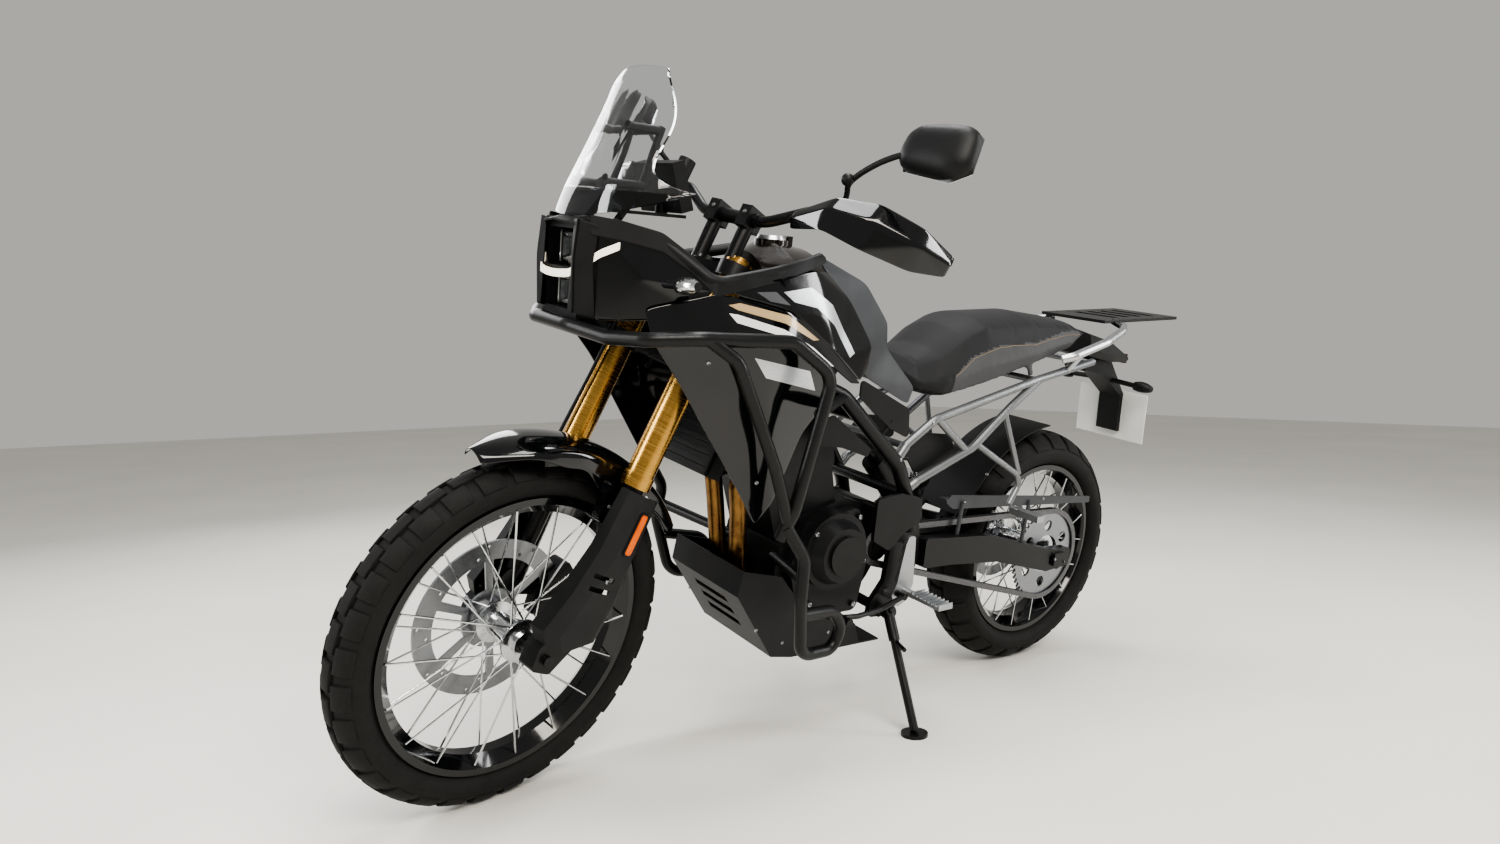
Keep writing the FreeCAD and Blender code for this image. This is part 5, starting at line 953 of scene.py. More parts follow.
def seam_depth(point, route, width):
    """How deep a point is in a groove that follows a route: 1 on the route, 0 beside it."""
    gaps = []
    for start, end in zip(route, route[1:]):
        share = (point - start).dot(end - start) / (end - start).length_squared
        gaps.append((point - (start + (end - start) * max(0.0, min(1.0, share)))).length)
    return max(0.0, 1.0 - min(gaps) / width)


print("helpers for foam are ready")

# %% [markdown]
# The cover and its patches
#
# The seams are a route on each side. Points near it are pulled in along a narrow groove, and the faces
# below it take the lighter vinyl. One round of subdivision then smooths the cover.

# %% The seat's cover
SEAM_ROUTE = ((486, 138, 836), (430, 142, 880), (340, 142, 905),
              (200, 138, 912), (80, 124, 936), (-10, 104, 942))
SEAM_WIDTH_MM = 9.0
SEAM_DEPTH_MM = 2.2
PATCH_STARTS_AT = 84
inverse_bike = BIKE.inverted()


def on_side_patch(point):
    """Whether a point of the seat is below the seam at the passenger's side."""
    x, y, z = (inverse_bike @ point) / MM
    if not SEAM_ROUTE[-1][0] < x < SEAM_ROUTE[0][0] or abs(y) < PATCH_STARTS_AT:
        return False
    for (x1, _, z1), (x2, _, z2) in zip(SEAM_ROUTE, SEAM_ROUTE[1:]):
        if x2 <= x <= x1:
            return z < z1 + (z2 - z1) * (x - x1) / (x2 - x1)
    return False


seat = puff(welded_copy("seat_cover", "seat", seat_vinyl), voxel_mm=6.0, pressure=4.0, cap_mm=6.0)
seam_lines = [[bike(x, side * y, z) for x, y, z in SEAM_ROUTE] for side in SIDES]
for vertex in seat.data.vertices:
    for seam_line in seam_lines:
        depth = seam_depth(vertex.co, seam_line, SEAM_WIDTH_MM * MM)
        if depth > 0:
            vertex.co -= vertex.normal * depth * SEAM_DEPTH_MM * MM
seat.data.materials.append(side_vinyl)
for face in seat.data.polygons:
    face.material_index = 1 if on_side_patch(face.center) else 0
smooth = seat.modifiers.new("smooth", "SUBSURF")
smooth.levels = 1
smooth.render_levels = 1
bake_modifiers(seat)
hand_over(seat, "chassis", ["seat"], 60.0)

# %% [markdown]
# Stitches
#
# The seam's thread is a row of short capsules. A second tree of Geometry Nodes samples a curve evenly,
# and lays a copy of one stitch at each point, turned along the curve.

# %% A tree that lays copies along a curve
stitch_tree, given, result = geometry_tree("copies_along_curve", [
    ("Step", "NodeSocketFloat"), ("Stitch", "NodeSocketObject"), ("Material", "NodeSocketMaterial")])
sampled = add(stitch_tree, "GeometryNodeCurveToPoints", {"mode": "LENGTH"},
              {"Curve": given["Geometry"], "Length": given["Step"]})
one = add(stitch_tree, "GeometryNodeObjectInfo", links={"Object": given["Stitch"]})
make_copies(stitch_tree, result, sampled.outputs["Points"], one.outputs["Geometry"],
            sampled.outputs["Rotation"], given["Material"])


def polyline(name, points):
    """A curve through points, as an object."""
    curve = bpy.data.curves.new(name, "CURVE")
    curve.dimensions = "3D"
    spline = curve.splines.new("POLY")
    spline.points.add(len(points) - 1)
    for target, point in zip(spline.points, points):
        target.co = (*point, 1.0)
    made = bpy.data.objects.new(name, curve)
    bpy.context.scene.collection.objects.link(made)
    return made


def capsule(name, length_mm, radius_mm, material, sides):
    """A short rounded rod along its own Z."""
    table = bmesh.new()
    bmesh.ops.create_cone(table, cap_ends=True, segments=sides, radius1=radius_mm * MM,
                          radius2=radius_mm * MM, depth=length_mm * MM)
    cap_edges = [edge for edge in table.edges
                 if len(edge.link_faces) == 2 and any(len(face.verts) > 4 for face in edge.link_faces)]
    bmesh.ops.bevel(table, geom=cap_edges, offset=radius_mm * 0.6 * MM, segments=2, affect="EDGES")
    return piece_from(table, name, material)


def along(name, points, step_mm, part, material):
    """Copies of a part laid along a curve."""
    line = polyline(name, points)
    row = line.modifiers.new("row", "NODES")
    row.node_group = stitch_tree
    set_inputs(row, {"Step": step_mm * MM, "Stitch": part, "Material": material})
    mesh = evaluated_mesh(line)
    bpy.data.objects.remove(line)
    return new_piece(name, mesh, material)


def laid_on(surface, points, lift_mm, steps=12):
    """Points along straight runs, each moved onto a surface and lifted off it a little."""
    laid = []
    for start, end in zip(points, points[1:]):
        for step in range(steps):
            found, place, normal, _ = surface.closest_point_on_mesh(start.lerp(end, step / steps))
            laid.append(place + normal * lift_mm * MM)
    return laid


print("the tree has", len(stitch_tree.nodes), "nodes")

# %% [markdown]
# Thread along the seams
#
# The seam's line is first laid on the cover, point by point, by asking the cover's mesh for its nearest
# place. Then the stitches are laid along it.

# %% Thread along the seams
thread = rubber("thread_tan_polyester", "#8a7455", "#9a8465", 0.6, 0.8)
stitch = capsule("stitch", 4.2, 0.6, thread, 6)
for seam_line, side in zip(seam_lines, ("left", "right")):
    seam = along("seat_stitches_" + side, laid_on(seat, seam_line, 0.35), 5.6, stitch, thread)
    hand_over(seam, "chassis")
bpy.data.objects.remove(stitch)

# %% [markdown]
# Rounded edges on castings and mouldings
#
# No casting, moulding or bent plate has a knife edge. A radius of one to three millimetres lets it out
# of its mould, and that radius carries the bright line which the eye reads as a real edge. The packed
# solids are sharp, so each piece below is a copy of its solid with a Bevel modifier. Flat faces are
# first freed of their inner triangles, because the bevel can't grow past a short edge, and weighted
# normals keep the flat faces flat to the eye. The angle limit leaves round stretches alone. The table
# at the end gives each radius in millimetres, and the parts that have it.

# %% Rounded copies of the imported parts
FLAT = math.radians(1.5)
body_of = {node: body for body, listed in frame["record"]["behaviour"]["bodies"].items()
           for node in listed}


def flat_table(piece):
    """A piece's mesh as a table in which the triangles of each flat face are one face."""
    table = bmesh.new()
    table.from_mesh(piece.data)
    bmesh.ops.dissolve_limit(table, angle_limit=FLAT, verts=table.verts[:], edges=table.edges[:])
    return table


def softened(node_name, width_mm):
    """A copy of a solid piece with its sharp edges rounded, which stands for it."""
    material = nodes[node_name].data.materials[0]
    piece = welded_copy(node_name + "_rounded", node_name, material)
    table = flat_table(piece)
    table.to_mesh(piece.data)
    table.free()
    piece.data.shade_smooth()
    round_edges(piece, width_mm, 2, 32.0)
    piece.modifiers.new("even_shading", "WEIGHTED_NORMAL").weight = 80
    return hand_over(piece, body_of[node_name], (node_name,), 50.0)


edge_radius = {
    3.0: ("engine_block", "fork_guards", "swingarm", "indicators"),
    2.2: ("engine_side_covers", "nose_fairing", "side_covers", "tail_panels", "triple_clamps", "cockpit",
          "rear_mudguard", "fork_lowers", "footpegs"),
    1.4: ("skid_plate", "luggage_rack", "chain_guard", "front_caliper", "rear_caliper", "hand_controls",
          "foot_controls", "muffler", "front_mudguard", "grab_rails"),
    0.7: ("radiator", "rear_shock", "side_stand", "tank_filler_cap"),
}
for radius, names in edge_radius.items():
    for name in names:
        softened(name, radius)

# %% [markdown]
# The front mudguard's crown
#
# The real guard is one thin gloss moulding: a crown that follows the tyre, ends in a point ahead of the
# wheel and turns down over the tyre's shoulders, deepest beside the fork. Its shape follows a rule, so
# it is a grid: one direction runs round the axle, the other from one rim over the crown to the other.
# It lies a few millimetres over the solid guard, so it hides its top but not its brackets. Angles are in
# degrees round the front axle, and go from the tip ahead of the wheel to the end behind the fork.

# %% Crown of the front mudguard
FRONT_CENTRE = Vector((57.0, 0.0, -691.4))
CROWN_RADIUS = 389.0
CROWN_FALL = 13.0
CROWN_HALF = 68.0
CROWN_TIP = 49.0
CROWN_END = 127.0
EDGE_SHARE = 0.74
EDGE_FLARE = 4.0
TIP_DEPTH = 8.0
SHOULDER_DEPTH = 22.0
FORK_DEPTH = 34.0
ROWS, COLUMNS = 52, 27


def smooth_step(value, low, high):
    """0 below the range, 1 above it, and an S curve between."""
    t = max(0.0, min(1.0, (value - low) / (high - low)))
    return t * t * (3.0 - 2.0 * t)


def crown_point(angle, side):
    """A point of the crown, at an angle round the axle and a share of the way to the rim."""
    half = CROWN_HALF * (0.1 + 0.9 * smooth_step(angle, CROWN_TIP - 6.0, CROWN_TIP + 17.0) ** 0.8)
    depth = (TIP_DEPTH + SHOULDER_DEPTH * smooth_step(angle, 60.0, 74.0)
             + FORK_DEPTH * smooth_step(angle, 78.0, 90.0) * (1.0 - smooth_step(angle, 104.0, 118.0)))
    share = abs(side)
    across = half * min(1.0, share / EDGE_SHARE)
    radius = CROWN_RADIUS - CROWN_FALL * min(1.0, share / EDGE_SHARE) ** 2
    if share > EDGE_SHARE:
        down = (share - EDGE_SHARE) / (1.0 - EDGE_SHARE)
        across += EDGE_FLARE * down
        radius -= depth * down
    turn = math.radians(angle)
    place = FRONT_CENTRE + Vector((math.cos(turn), 0.0, math.sin(turn))) * radius
    return fork(place.x, math.copysign(across, side), place.z)


table = bmesh.new()
grid = [[table.verts.new(crown_point(CROWN_TIP + (CROWN_END - CROWN_TIP) * row / ROWS,
                                     2.0 * column / COLUMNS - 1.0))
         for column in range(COLUMNS + 1)] for row in range(ROWS + 1)]
for row in range(ROWS):
    for column in range(COLUMNS):
        table.faces.new((grid[row][column], grid[row][column + 1],
                         grid[row + 1][column + 1], grid[row + 1][column]))
bmesh.ops.recalc_face_normals(table, faces=table.faces[:])
top_point = crown_point(90.0, 0.01)
top_face = min(table.faces, key=lambda face: (face.calc_center_median() - top_point).length)
if top_face.normal.dot(top_point - fork(*FRONT_CENTRE)) < 0:
    bmesh.ops.reverse_faces(table, faces=table.faces[:])
relax(table, 2, 2)
crown = piece_from(table, "mudguard_crown", gloss_black)
give_wall(crown, 2.0, 1.0)
round_edges(crown, 0.7, 2, 50.0)
hand_over(crown, "steering")

# %% [markdown]
# The covers beside the lamps
#
# Two mouldings lie over each other beside the lamps: a gloss side cover, and over it a satin rail that
# starts as the lamps' surround and runs back along the fairing's top edge to the tank. Both are shells
# made with the same helper as the fairing's skins, a few millimetres outside what carries them. A band
# between two edges is made of four-cornered strips, one between each station and the next.

# %% Side cover and satin rail
def strips(count):
    """The facets of a band between an upper and a lower edge that have the same number of points."""
    return [(i, i + 1, i + 1 + count, i + count) for i in range(count - 1)]


nose_cover = skin("nose_side_cover", [
    (1402, 95, 1100), (1360, 117, 1094), (1306, 147, 1080), (1262, 178, 1052), (1230, 208, 1014),
    (1258, 182, 982), (1312, 150, 954), (1368, 118, 948), (1404, 97, 948), (1340, 133, 1026)],
    [(0, 1, 9), (1, 2, 9), (2, 3, 9), (3, 4, 9), (4, 5, 9), (5, 6, 9), (6, 7, 9), (7, 8, 9), (8, 0, 9)],
    gloss_black, 2.5, 4, 3)
hand_over(nose_cover, "chassis")

rail_route = [(1416, 86, 1112), (1366, 116, 1106), (1306, 151, 1092), (1262, 183, 1058), (1228, 213, 1020),
              (1164, 213, 1034), (1092, 206, 1049), (1040, 196, 1060), (990, 182, 1071), (945, 164, 1080)]
RAIL_TOP = (15, 15, 15, 14, 14, 13, 12, 11, 10, 7)
RAIL_DEPTH = (34, 34, 33, 31, 29, 27, 25, 22, 19, 12)
upper_edge = [(x, y - 4, z + rise) for (x, y, z), rise in zip(rail_route, RAIL_TOP)]
lower_edge = [(x, y + 2, z + rise - depth)
              for (x, y, z), rise, depth in zip(rail_route, RAIL_TOP, RAIL_DEPTH)]
rail = skin("fairing_rail", upper_edge + lower_edge, strips(len(rail_route)), black_moulding, 3.0, 5, 3)
hand_over(rail, "chassis")

# %% [markdown]
# The two lamps
#
# Each lamp is a reflector behind a clear glass, one above the other. The reflector is a moulded bowl with
# a bright metal film. The real lamps' bulbs and projector lenses are left out here. The bowl is a loft
# of rounded rectangles that get smaller towards the back, so two helpers will do: one that gives the
# outline of a rounded rectangle, and one that spans walls between rings of points.

# %% Reflector bowls
def rounded_outline(half_a, half_b, corner, steps):
    """Points of a rounded rectangle round the origin."""
    points = []
    for turn in range(4):
        sign_a = 1 if turn in (0, 3) else -1
        sign_b = 1 if turn in (0, 1) else -1
        for step in range(steps + 1):
            angle = math.radians(90.0 * turn + 90.0 * step / steps)
            points.append((sign_a * (half_a - corner) + corner * math.cos(angle),
                           sign_b * (half_b - corner) + corner * math.sin(angle)))
    return points


def loft(table, rings):
    """Walls between rings, and a cap over the last one."""
    for first, second in zip(rings, rings[1:]):
        for i, point in enumerate(first):
            after = (i + 1) % len(first)
            table.faces.new((point, first[after], second[after], second[i]))
    table.faces.new(rings[-1])


LAMP_LEVELS = (1066.0, 987.0)
BOWL = ((51, 25, 9, 1397), (50, 24, 9, 1392), (43, 19, 8, 1372), (34, 15, 7, 1362), (18, 13, 9, 1358))
table = bmesh.new()
for level in LAMP_LEVELS:
    loft(table, [[table.verts.new(bike(ahead_mm, y, level + z))
                  for y, z in rounded_outline(half_y, half_z, corner, 5)]
                 for half_y, half_z, corner, ahead_mm in BOWL])
bmesh.ops.recalc_face_normals(table, faces=table.faces[:])
bmesh.ops.reverse_faces(table, faces=table.faces[:])
bowls = piece_from(table, "lamp_bowls", reflector_film)
give_wall(bowls, 2.0)
hand_over(bowls, "chassis", ("headlamp",), 30.0)

# %% [markdown]
# The light guide
#
# A pale band of frosted plastic runs across between the two lamps, and sweeps up and back over the side
# covers. It glows a little, as such guides do when the machine is on.

# %% Light guide
guide_plastic = blank("light_guide_white", {
    "Base Color": colour("#e9e6dc"), "Roughness": 0.35,
    "Emission Color": colour("#fff3d8"), "Emission Strength": 0.7})[0]
GUIDE_ROUTE = ((1372, 116, 1078), (1400, 98, 1062), (1428, 78, 1036), (1440, 58, 1024), (1444, 28, 1021),
               (1445, 0, 1020))
GUIDE_HALF = 7
guide_edges = [(x, y, z + rise) for rise in (GUIDE_HALF, -GUIDE_HALF) for x, y, z in GUIDE_ROUTE]
guide = skin("light_guide", guide_edges, strips(len(GUIDE_ROUTE)), guide_plastic, 3.0, 3, 3)
hand_over(guide, "chassis")

# %% [markdown]
# Cheeks and hood
#
# Two cheeks of satin plastic close the gap between the lamps' glass and the side covers, and a hood
# shades the upper lamp.

# %% Cheeks and hood of the lamps
cheeks = skin("lamp_cheeks", [
    (1432, 76, 1118), (1438, 76, 1050), (1434, 74, 956), (1402, 94, 1110), (1410, 92, 1040),
    (1402, 95, 948), (1430, 58, 1116), (1434, 58, 960)],
    [(0, 1, 4, 3), (1, 2, 5, 4), (0, 6, 7, 2, 1)], black_moulding, 3.0, 4, 2)
hand_over(cheeks, "chassis")
hood = skin("lamp_hood", [
    (1446, 0, 1116), (1442, 46, 1112), (1428, 74, 1104), (1404, 0, 1128), (1402, 48, 1125), (1398, 84, 1114)],
    [(0, 1, 4, 3), (1, 2, 5, 4)], black_moulding, 4.0, 3, 2)
hand_over(hood, "chassis")

# %% [markdown]
# Lenses of the indicators
#
# Each indicator is one rounded body on a stalk. Its outer face that looks ahead, or back on the rear
# pair, is the lens. The faces are found by where they are and where they look, and only change their
# material.

# %% Bright lenses on the indicators
FRONT_PAIR_AHEAD = 0.5
LOOKS_OUT = 0.3
LENS_FROM_FRONT = 222
LENS_FROM_REAR = 112

indicators = bpy.data.objects["indicators_rounded"]
indicators.data.materials.append(reflector_film)
machine_ahead = bike_way(1, 0, 0)
machine_left = bike_way(0, 1, 0)
for face in indicators.data.polygons:
    offset = face.center - bike(0, 0, 0)
    front = offset.dot(machine_ahead) > FRONT_PAIR_AHEAD
    reach = abs(offset.dot(machine_left)) / MM
    looks_out = face.normal.dot(machine_ahead) * (1 if front else -1)
    if looks_out > LOOKS_OUT and reach > (LENS_FROM_FRONT if front else LENS_FROM_REAR):
        face.material_index = 1
print("lens faces", sum(face.material_index == 1 for face in indicators.data.polygons))

# %% [markdown]
# The windscreen
#
# The real screen is one clear acrylic sheet whose foot is smoked, so that it hides what is behind it.
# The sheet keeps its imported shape. Its mesh is cut along a level line, and the faces below that line
# take the smoked acrylic. Cutting first keeps the border straight, whatever the triangles look like.

# %% Clear sheet with a smoked foot
SMOKE_LEVEL = 1172.0
NEARLY_ZERO = 1e-6
machine_up = bike_way(0, 0, 1)
smoke_line = bike(0, 0, SMOKE_LEVEL)
screen = welded_copy("windscreen_sheet", "windscreen", acrylic_clear)
screen.data.materials.append(acrylic_smoked)
table = flat_table(screen)
bmesh.ops.triangulate(table, faces=table.faces[:])
bmesh.ops.bisect_plane(table, geom=table.verts[:] + table.edges[:] + table.faces[:], dist=NEARLY_ZERO,
                       plane_co=smoke_line, plane_no=machine_up)
for face in table.faces:
    below = (face.calc_center_median() - smoke_line).dot(machine_up) < 0
    face.material_index = 1 if below else 0
table.to_mesh(screen.data)
table.free()
hand_over(screen, "chassis", ("windscreen",), 30.0)

# %% [markdown]
# Screws where the panels are held
#
# Dozens of button-head screws hold the panels and covers. One screw is modelled once: a dome with a
# round recess for the key. A tree of Geometry Nodes puts a copy on every point of a mesh, turned so that it
# stands on the surface. The points are given roughly, on the drawing of the machine, and each is then
# moved to the nearest place of the part that it holds, which also gives the direction it faces.

# %% A tree that puts screws on points
screw_tree, given, result = geometry_tree("screws_on_points", [
    ("Screw", "NodeSocketObject"), ("Material", "NodeSocketMaterial")])
aim = add(screw_tree, "GeometryNodeInputNamedAttribute", {"data_type": "FLOAT_VECTOR", "Name": "aim"})
facing = add(screw_tree, "FunctionNodeAlignRotationToVector", {"axis": "Z"},
             {"Vector": aim.outputs["Attribute"]})
one = add(screw_tree, "GeometryNodeObjectInfo", links={"Object": given["Screw"]})
make_copies(screw_tree, result, given["Geometry"], one.outputs["Geometry"],
            facing.outputs["Rotation"], given["Material"])
SCREW_SIDES = 18
SCREW_PROFILE = ((1.0, -0.2), (1.0, 0.3), (0.86, 0.72), (0.5, 1.0), (0.48, 0.35))


def button_screw(name, radius_mm, height_mm, material):
    """A domed screw head with a recess, standing on Z."""
    table = bmesh.new()
    turns = [2 * math.pi * i / SCREW_SIDES for i in range(SCREW_SIDES)]
    rings = [[table.verts.new(Vector((math.cos(turn) * share * radius_mm,
                                      math.sin(turn) * share * radius_mm,
                                      rise * height_mm)) * MM) for turn in turns]
             for share, rise in SCREW_PROFILE]
    loft(table, rings)
    table.faces.new(list(reversed(rings[0])))
    return piece_from(table, name, material)


def nearest_on(part, point):
    """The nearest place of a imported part, and the direction that it faces there."""
    mesh = nodes[part].data
    skin_tree = BVHTree.FromPolygons([vertex.co for vertex in mesh.vertices],
                                     [face.vertices for face in mesh.polygons])
    return skin_tree.find_nearest(point)[:2]


def screws(name, places, screw, material, body):
    """Screws on the parts they hold, from rough places as part name and point."""
    mesh = bpy.data.meshes.new(name)
    found = [nearest_on(part, point) for part, point in places]
    mesh.from_pydata([place for place, normal in found], [], [])
    directions = mesh.attributes.new("aim", "FLOAT_VECTOR", "POINT")
    for target, (place, normal) in zip(directions.data, found):
        target.vector = normal
    row = new_piece(name, mesh, material)
    spread_out = row.modifiers.new("screws", "NODES")
    spread_out.node_group = screw_tree
    set_inputs(spread_out, {"Screw": screw, "Material": material})
    return hand_over(row, body, (), 35.0)


print("the tree has", len(screw_tree.nodes), "nodes")

# %% [markdown]
# The screws' places
#
# Places on the chassis are given as for the panels, on the left, and each has its twin on the right.
# Only the engine's two covers differ, so each has its own list.

# %% Four groups of screws
LEFT_COVER_BOLTS = ((742, 524), (880, 506), (904, 430), (864, 338), (734, 318), (718, 420))
RIGHT_COVER_BOLTS = ((714, 502), (880, 506), (904, 430), (864, 338), (716, 318), (700, 400))
COVER_FACE = 140
PANEL_POINTS = (
    ("skid_plate", (1010, 150, 300)), ("skid_plate", (930, 150, 262)), ("skid_plate", (800, 150, 262)),
    ("side_covers", (640, 170, 560)), ("side_covers", (560, 170, 520)), ("side_covers", (690, 170, 500)),
    ("chain_guard", (380, 140, 530)), ("chain_guard", (60, 140, 492)), ("tail_panels", (120, 150, 800)),
    ("main_frame", (905, 180, 738)), ("main_frame", (640, 180, 660)), ("subframe", (560, 170, 735)),
    ("swingarm", (30, 150, 330)), ("swingarm", (-30, 150, 318)), ("footpegs", (400, 190, 640)),
    ("footpegs", (262, 190, 580)), ("radiator_cowls", (1240, 230, 880)), ("radiator_cowls", (1100, 230, 650)),
    ("rear_mudguard", (300, 90, 600)))
SCREEN_POINTS = ((1364, 60, 1184), (1332, 56, 1284))
FORK_POINTS = (
    ("fork_guards", (20, 170, -300)), ("fork_guards", (20, 170, -520)), ("front_mudguard", (8, 150, -405)),
    ("front_mudguard", (38, 150, -398)), ("triple_clamps", (30, 150, 60)), ("triple_clamps", (60, 104, 60)),
    ("fork_lowers", (90, 110, -640)), ("handlebar", (0, 44, 230)))

large = button_screw("large_screw", 6.2, 3.6, bolt_steel)
small = button_screw("small_screw", 4.2, 2.6, bolt_steel)
engine_places = [("engine_side_covers", bike(x, COVER_FACE, z)) for x, z in LEFT_COVER_BOLTS]
engine_places += [("engine_side_covers", bike(x, -COVER_FACE, z)) for x, z in RIGHT_COVER_BOLTS]
panel_places = [(part, bike(x, side * y, z)) for part, (x, y, z) in PANEL_POINTS for side in SIDES]
screen_places = [("windscreen", bike(x, side * y, z)) for x, y, z in SCREEN_POINTS for side in SIDES]
fork_places = [(part, fork(u, side * v, w)) for part, (u, v, w) in FORK_POINTS for side in SIDES]
screws("engine_screws", engine_places, large, bolt_steel, "chassis")
screws("panel_screws", panel_places, small, bolt_steel, "chassis")
screws("screen_screws", screen_places, large, black_moulding, "chassis")
screws("fork_screws", fork_places, small, bolt_steel, "steering")
for used_up in (large, small):
    bpy.data.objects.remove(used_up)

# %% [markdown]
# Mirror glass
#
# Glass sits a little inside the rim of what holds it. The mirrors' flat faces that look at the rider are
# already there in the solid, so each glass is that face, drawn in from its edge and raised by about a
# millimetre.

# %% Glass from the mirrors' flat faces
GLASS_INSET_MM = 6.0
GLASS_LIFT_MM = 1.2
FACES_RIDER = 0.8

source = welded_copy("mirror_glass_source", "mirrors", mirror_glass)
table = flat_table(source)
bpy.data.objects.remove(source)
table.normal_update()
to_rider = fork_way(-1, 0, 0)
facing = [face for face in table.faces if face.normal.dot(to_rider) > FACES_RIDER]
glass_faces = sorted(facing, key=lambda face: -face.calc_area())[:2]
bmesh.ops.delete(table, geom=[face for face in table.faces if face not in glass_faces], context="FACES")
edge = bmesh.ops.inset_region(table, faces=table.faces[:], thickness=GLASS_INSET_MM * MM,
                              use_even_offset=True)
bmesh.ops.delete(table, geom=edge["faces"], context="FACES")
for face in table.faces[:]:
    bmesh.ops.translate(table, verts=face.verts[:], vec=face.normal * GLASS_LIFT_MM * MM)
glass = piece_from(table, "mirror_glass", mirror_glass)
give_wall(glass, 1.0)
hand_over(glass, "steering")

# %% [markdown]
# The handguards
#
# Each guard is a gloss moulding with a crease along its middle and a lip folded back along its top, so
# that it stays stiff while it is thin. It is drawn in the fork's own frame, because it turns with the
# bars. The skin helper draws in the machine's frame, so this one takes its points through `fork`. The
# facets are cut fine and relaxed a little, which leaves the crease soft, as the mould makes it.

# %% Guards before the hands
GUARD_STATIONS = (
    ((44, 213, 238), (63, 214, 229), (69, 216, 214), (59, 217, 196)),
    ((28, 283, 280), (56, 285, 273), (70, 286, 244), (60, 286, 206)),
    ((-8, 350, 296), (20, 353, 289), (33, 356, 252), (22, 352, 198)),
    ((-78, 402, 292), (-52, 410, 288), (-42, 419, 252), (-56, 412, 206)),
    ((-142, 426, 282), (-132, 432, 280), (-130, 439, 262), (-131, 436, 236)))
BAR_END = ((-129.8, 411, 270.8), (-139.0, 433, 270.4))
GUARD_ARM = ((-18.7, 196, 271), (57, 219, 216))


def round_bar(table, start, end, radius, sides=18):
    """A plain rod between two points of a mesh that is being made."""
    axis = end - start
    turn = axis.to_track_quat("Z", "Y").to_matrix().to_4x4()
    place = Matrix.Translation((start + end) / 2) @ turn
    bmesh.ops.create_cone(table, cap_ends=True, segments=sides, radius1=radius * MM, radius2=radius * MM,
                          depth=axis.length, matrix=place)


shell = bmesh.new()
for side in SIDES:
    lines = [[shell.verts.new(fork(u, side * v, w)) for u, v, w in station] for station in GUARD_STATIONS]
    for inner, outer in zip(lines, lines[1:]):
        for i in range(3):
            looks = fork_way(1, 0, 0) if i > 0 else fork_way(0, 0, 1)
            add_facet(shell, (inner[i], outer[i], outer[i + 1], inner[i + 1]), looks)
cut_fine(shell)
relax(shell, 7, 6)
shells = piece_from(shell, "hand_guard_shells", gloss_black)
give_wall(shells, 3.0)
round_edges(shells, 1.0, 2, 55.0)
bake_modifiers(shells)
arms = bmesh.new()
arms.from_mesh(shells.data)
for side in SIDES:
    for (start, end), radius in ((BAR_END, 8.0), (GUARD_ARM, 7.0)):
        round_bar(arms, *[fork(u, side * v, w) for u, v, w in (start, end)], radius)
arms.to_mesh(shells.data)
arms.free()
hand_over(shells, "steering", ("handguards",))

# %% [markdown]
# Amber reflectors
#
# An amber reflector in a black rim is glued to the outside of each fork guard. Both are small plates
# with rounded corners and a top that is a little smaller than its foot. Each is laid on the guard by
# asking the guard for its nearest place and the direction that it faces there.

# %% Reflectors
CORNER_SHARE = 0.6
REFLECTOR_PLACE = (4, 160, -424)
PLATE_SUNK_MM = 3.0


def fork_plate(name, half_along, half_across, thick, material):
    """A small plate with rounded corners on the fork guards' outer faces."""
    table = bmesh.new()
    outline = rounded_outline(half_across, half_along, half_across * CORNER_SHARE, 4)
    steps = ((-PLATE_SUNK_MM, 1.0, 1.0), (thick * 0.7, 1.0, 1.0), (thick, 0.8, 0.95))
    for side in SIDES:
        u, v, w = REFLECTOR_PLACE
        place, normal = nearest_on("fork_guards", fork(u, side * v, w))
        across = fork_way(0, 0, 1).cross(normal).normalized()
        upright = normal.cross(across)
        levels = [[table.verts.new(place + MM * (across * a * share_a + upright * b * share_b
                                                 + normal * lift)) for a, b in outline]
                  for lift, share_a, share_b in steps]
        loft(table, levels)
        table.faces.new(list(reversed(levels[0])))
    bmesh.ops.recalc_face_normals(table, faces=table.faces[:])
    return hand_over(piece_from(table, name, material), "steering")


amber_prism = moulded("acrylic_amber_prismatic", "#c24a06", "#e0690f", 0.16, 3.0, 0.3)
fork_plate("reflector_cases", 44, 11, 3.0, black_moulding)
fork_plate("reflector_prisms", 40, 8, 5.0, amber_prism)

# %% [markdown]
# The brake hose
#
# The front brake's hose runs from the clamps down beside the right fork tube to the caliper. On the real
# machine it is clipped to the fork all the way, so it has no free stretch and turns with the fork. It is
# a smooth curve with a round section, turned into a mesh. The clips are left out.

# %% Hose along the fork
HOSE_RADIUS_MM = 3.6
HOSE_ROUTE = ((40, -60, 118), (64, -76, 96), (66, -92, 30), (60, -100, -70), (58, -104, -190),
              (60, -110, -320), (56, -112, -430), (34, -104, -520), (6, -92, -590))


def round_tube(name, points, radius_mm, resolution):
    """The mesh of a smooth curve near the points, with a round section."""
    curve = bpy.data.curves.new(name, "CURVE")
    curve.dimensions = "3D"
    curve.bevel_depth = radius_mm * MM
    curve.bevel_resolution = resolution
    curve.use_fill_caps = True
    spline = curve.splines.new("NURBS")
    spline.points.add(len(points) - 1)
    for target, point in zip(spline.points, points):
        target.co = (*point, 1.0)
    spline.order_u = 3
    spline.use_endpoint_u = True
    line = bpy.data.objects.new(name + "_line", curve)
    bpy.context.scene.collection.objects.link(line)
    mesh = evaluated_mesh(line)
    bpy.data.objects.remove(line)
    return mesh


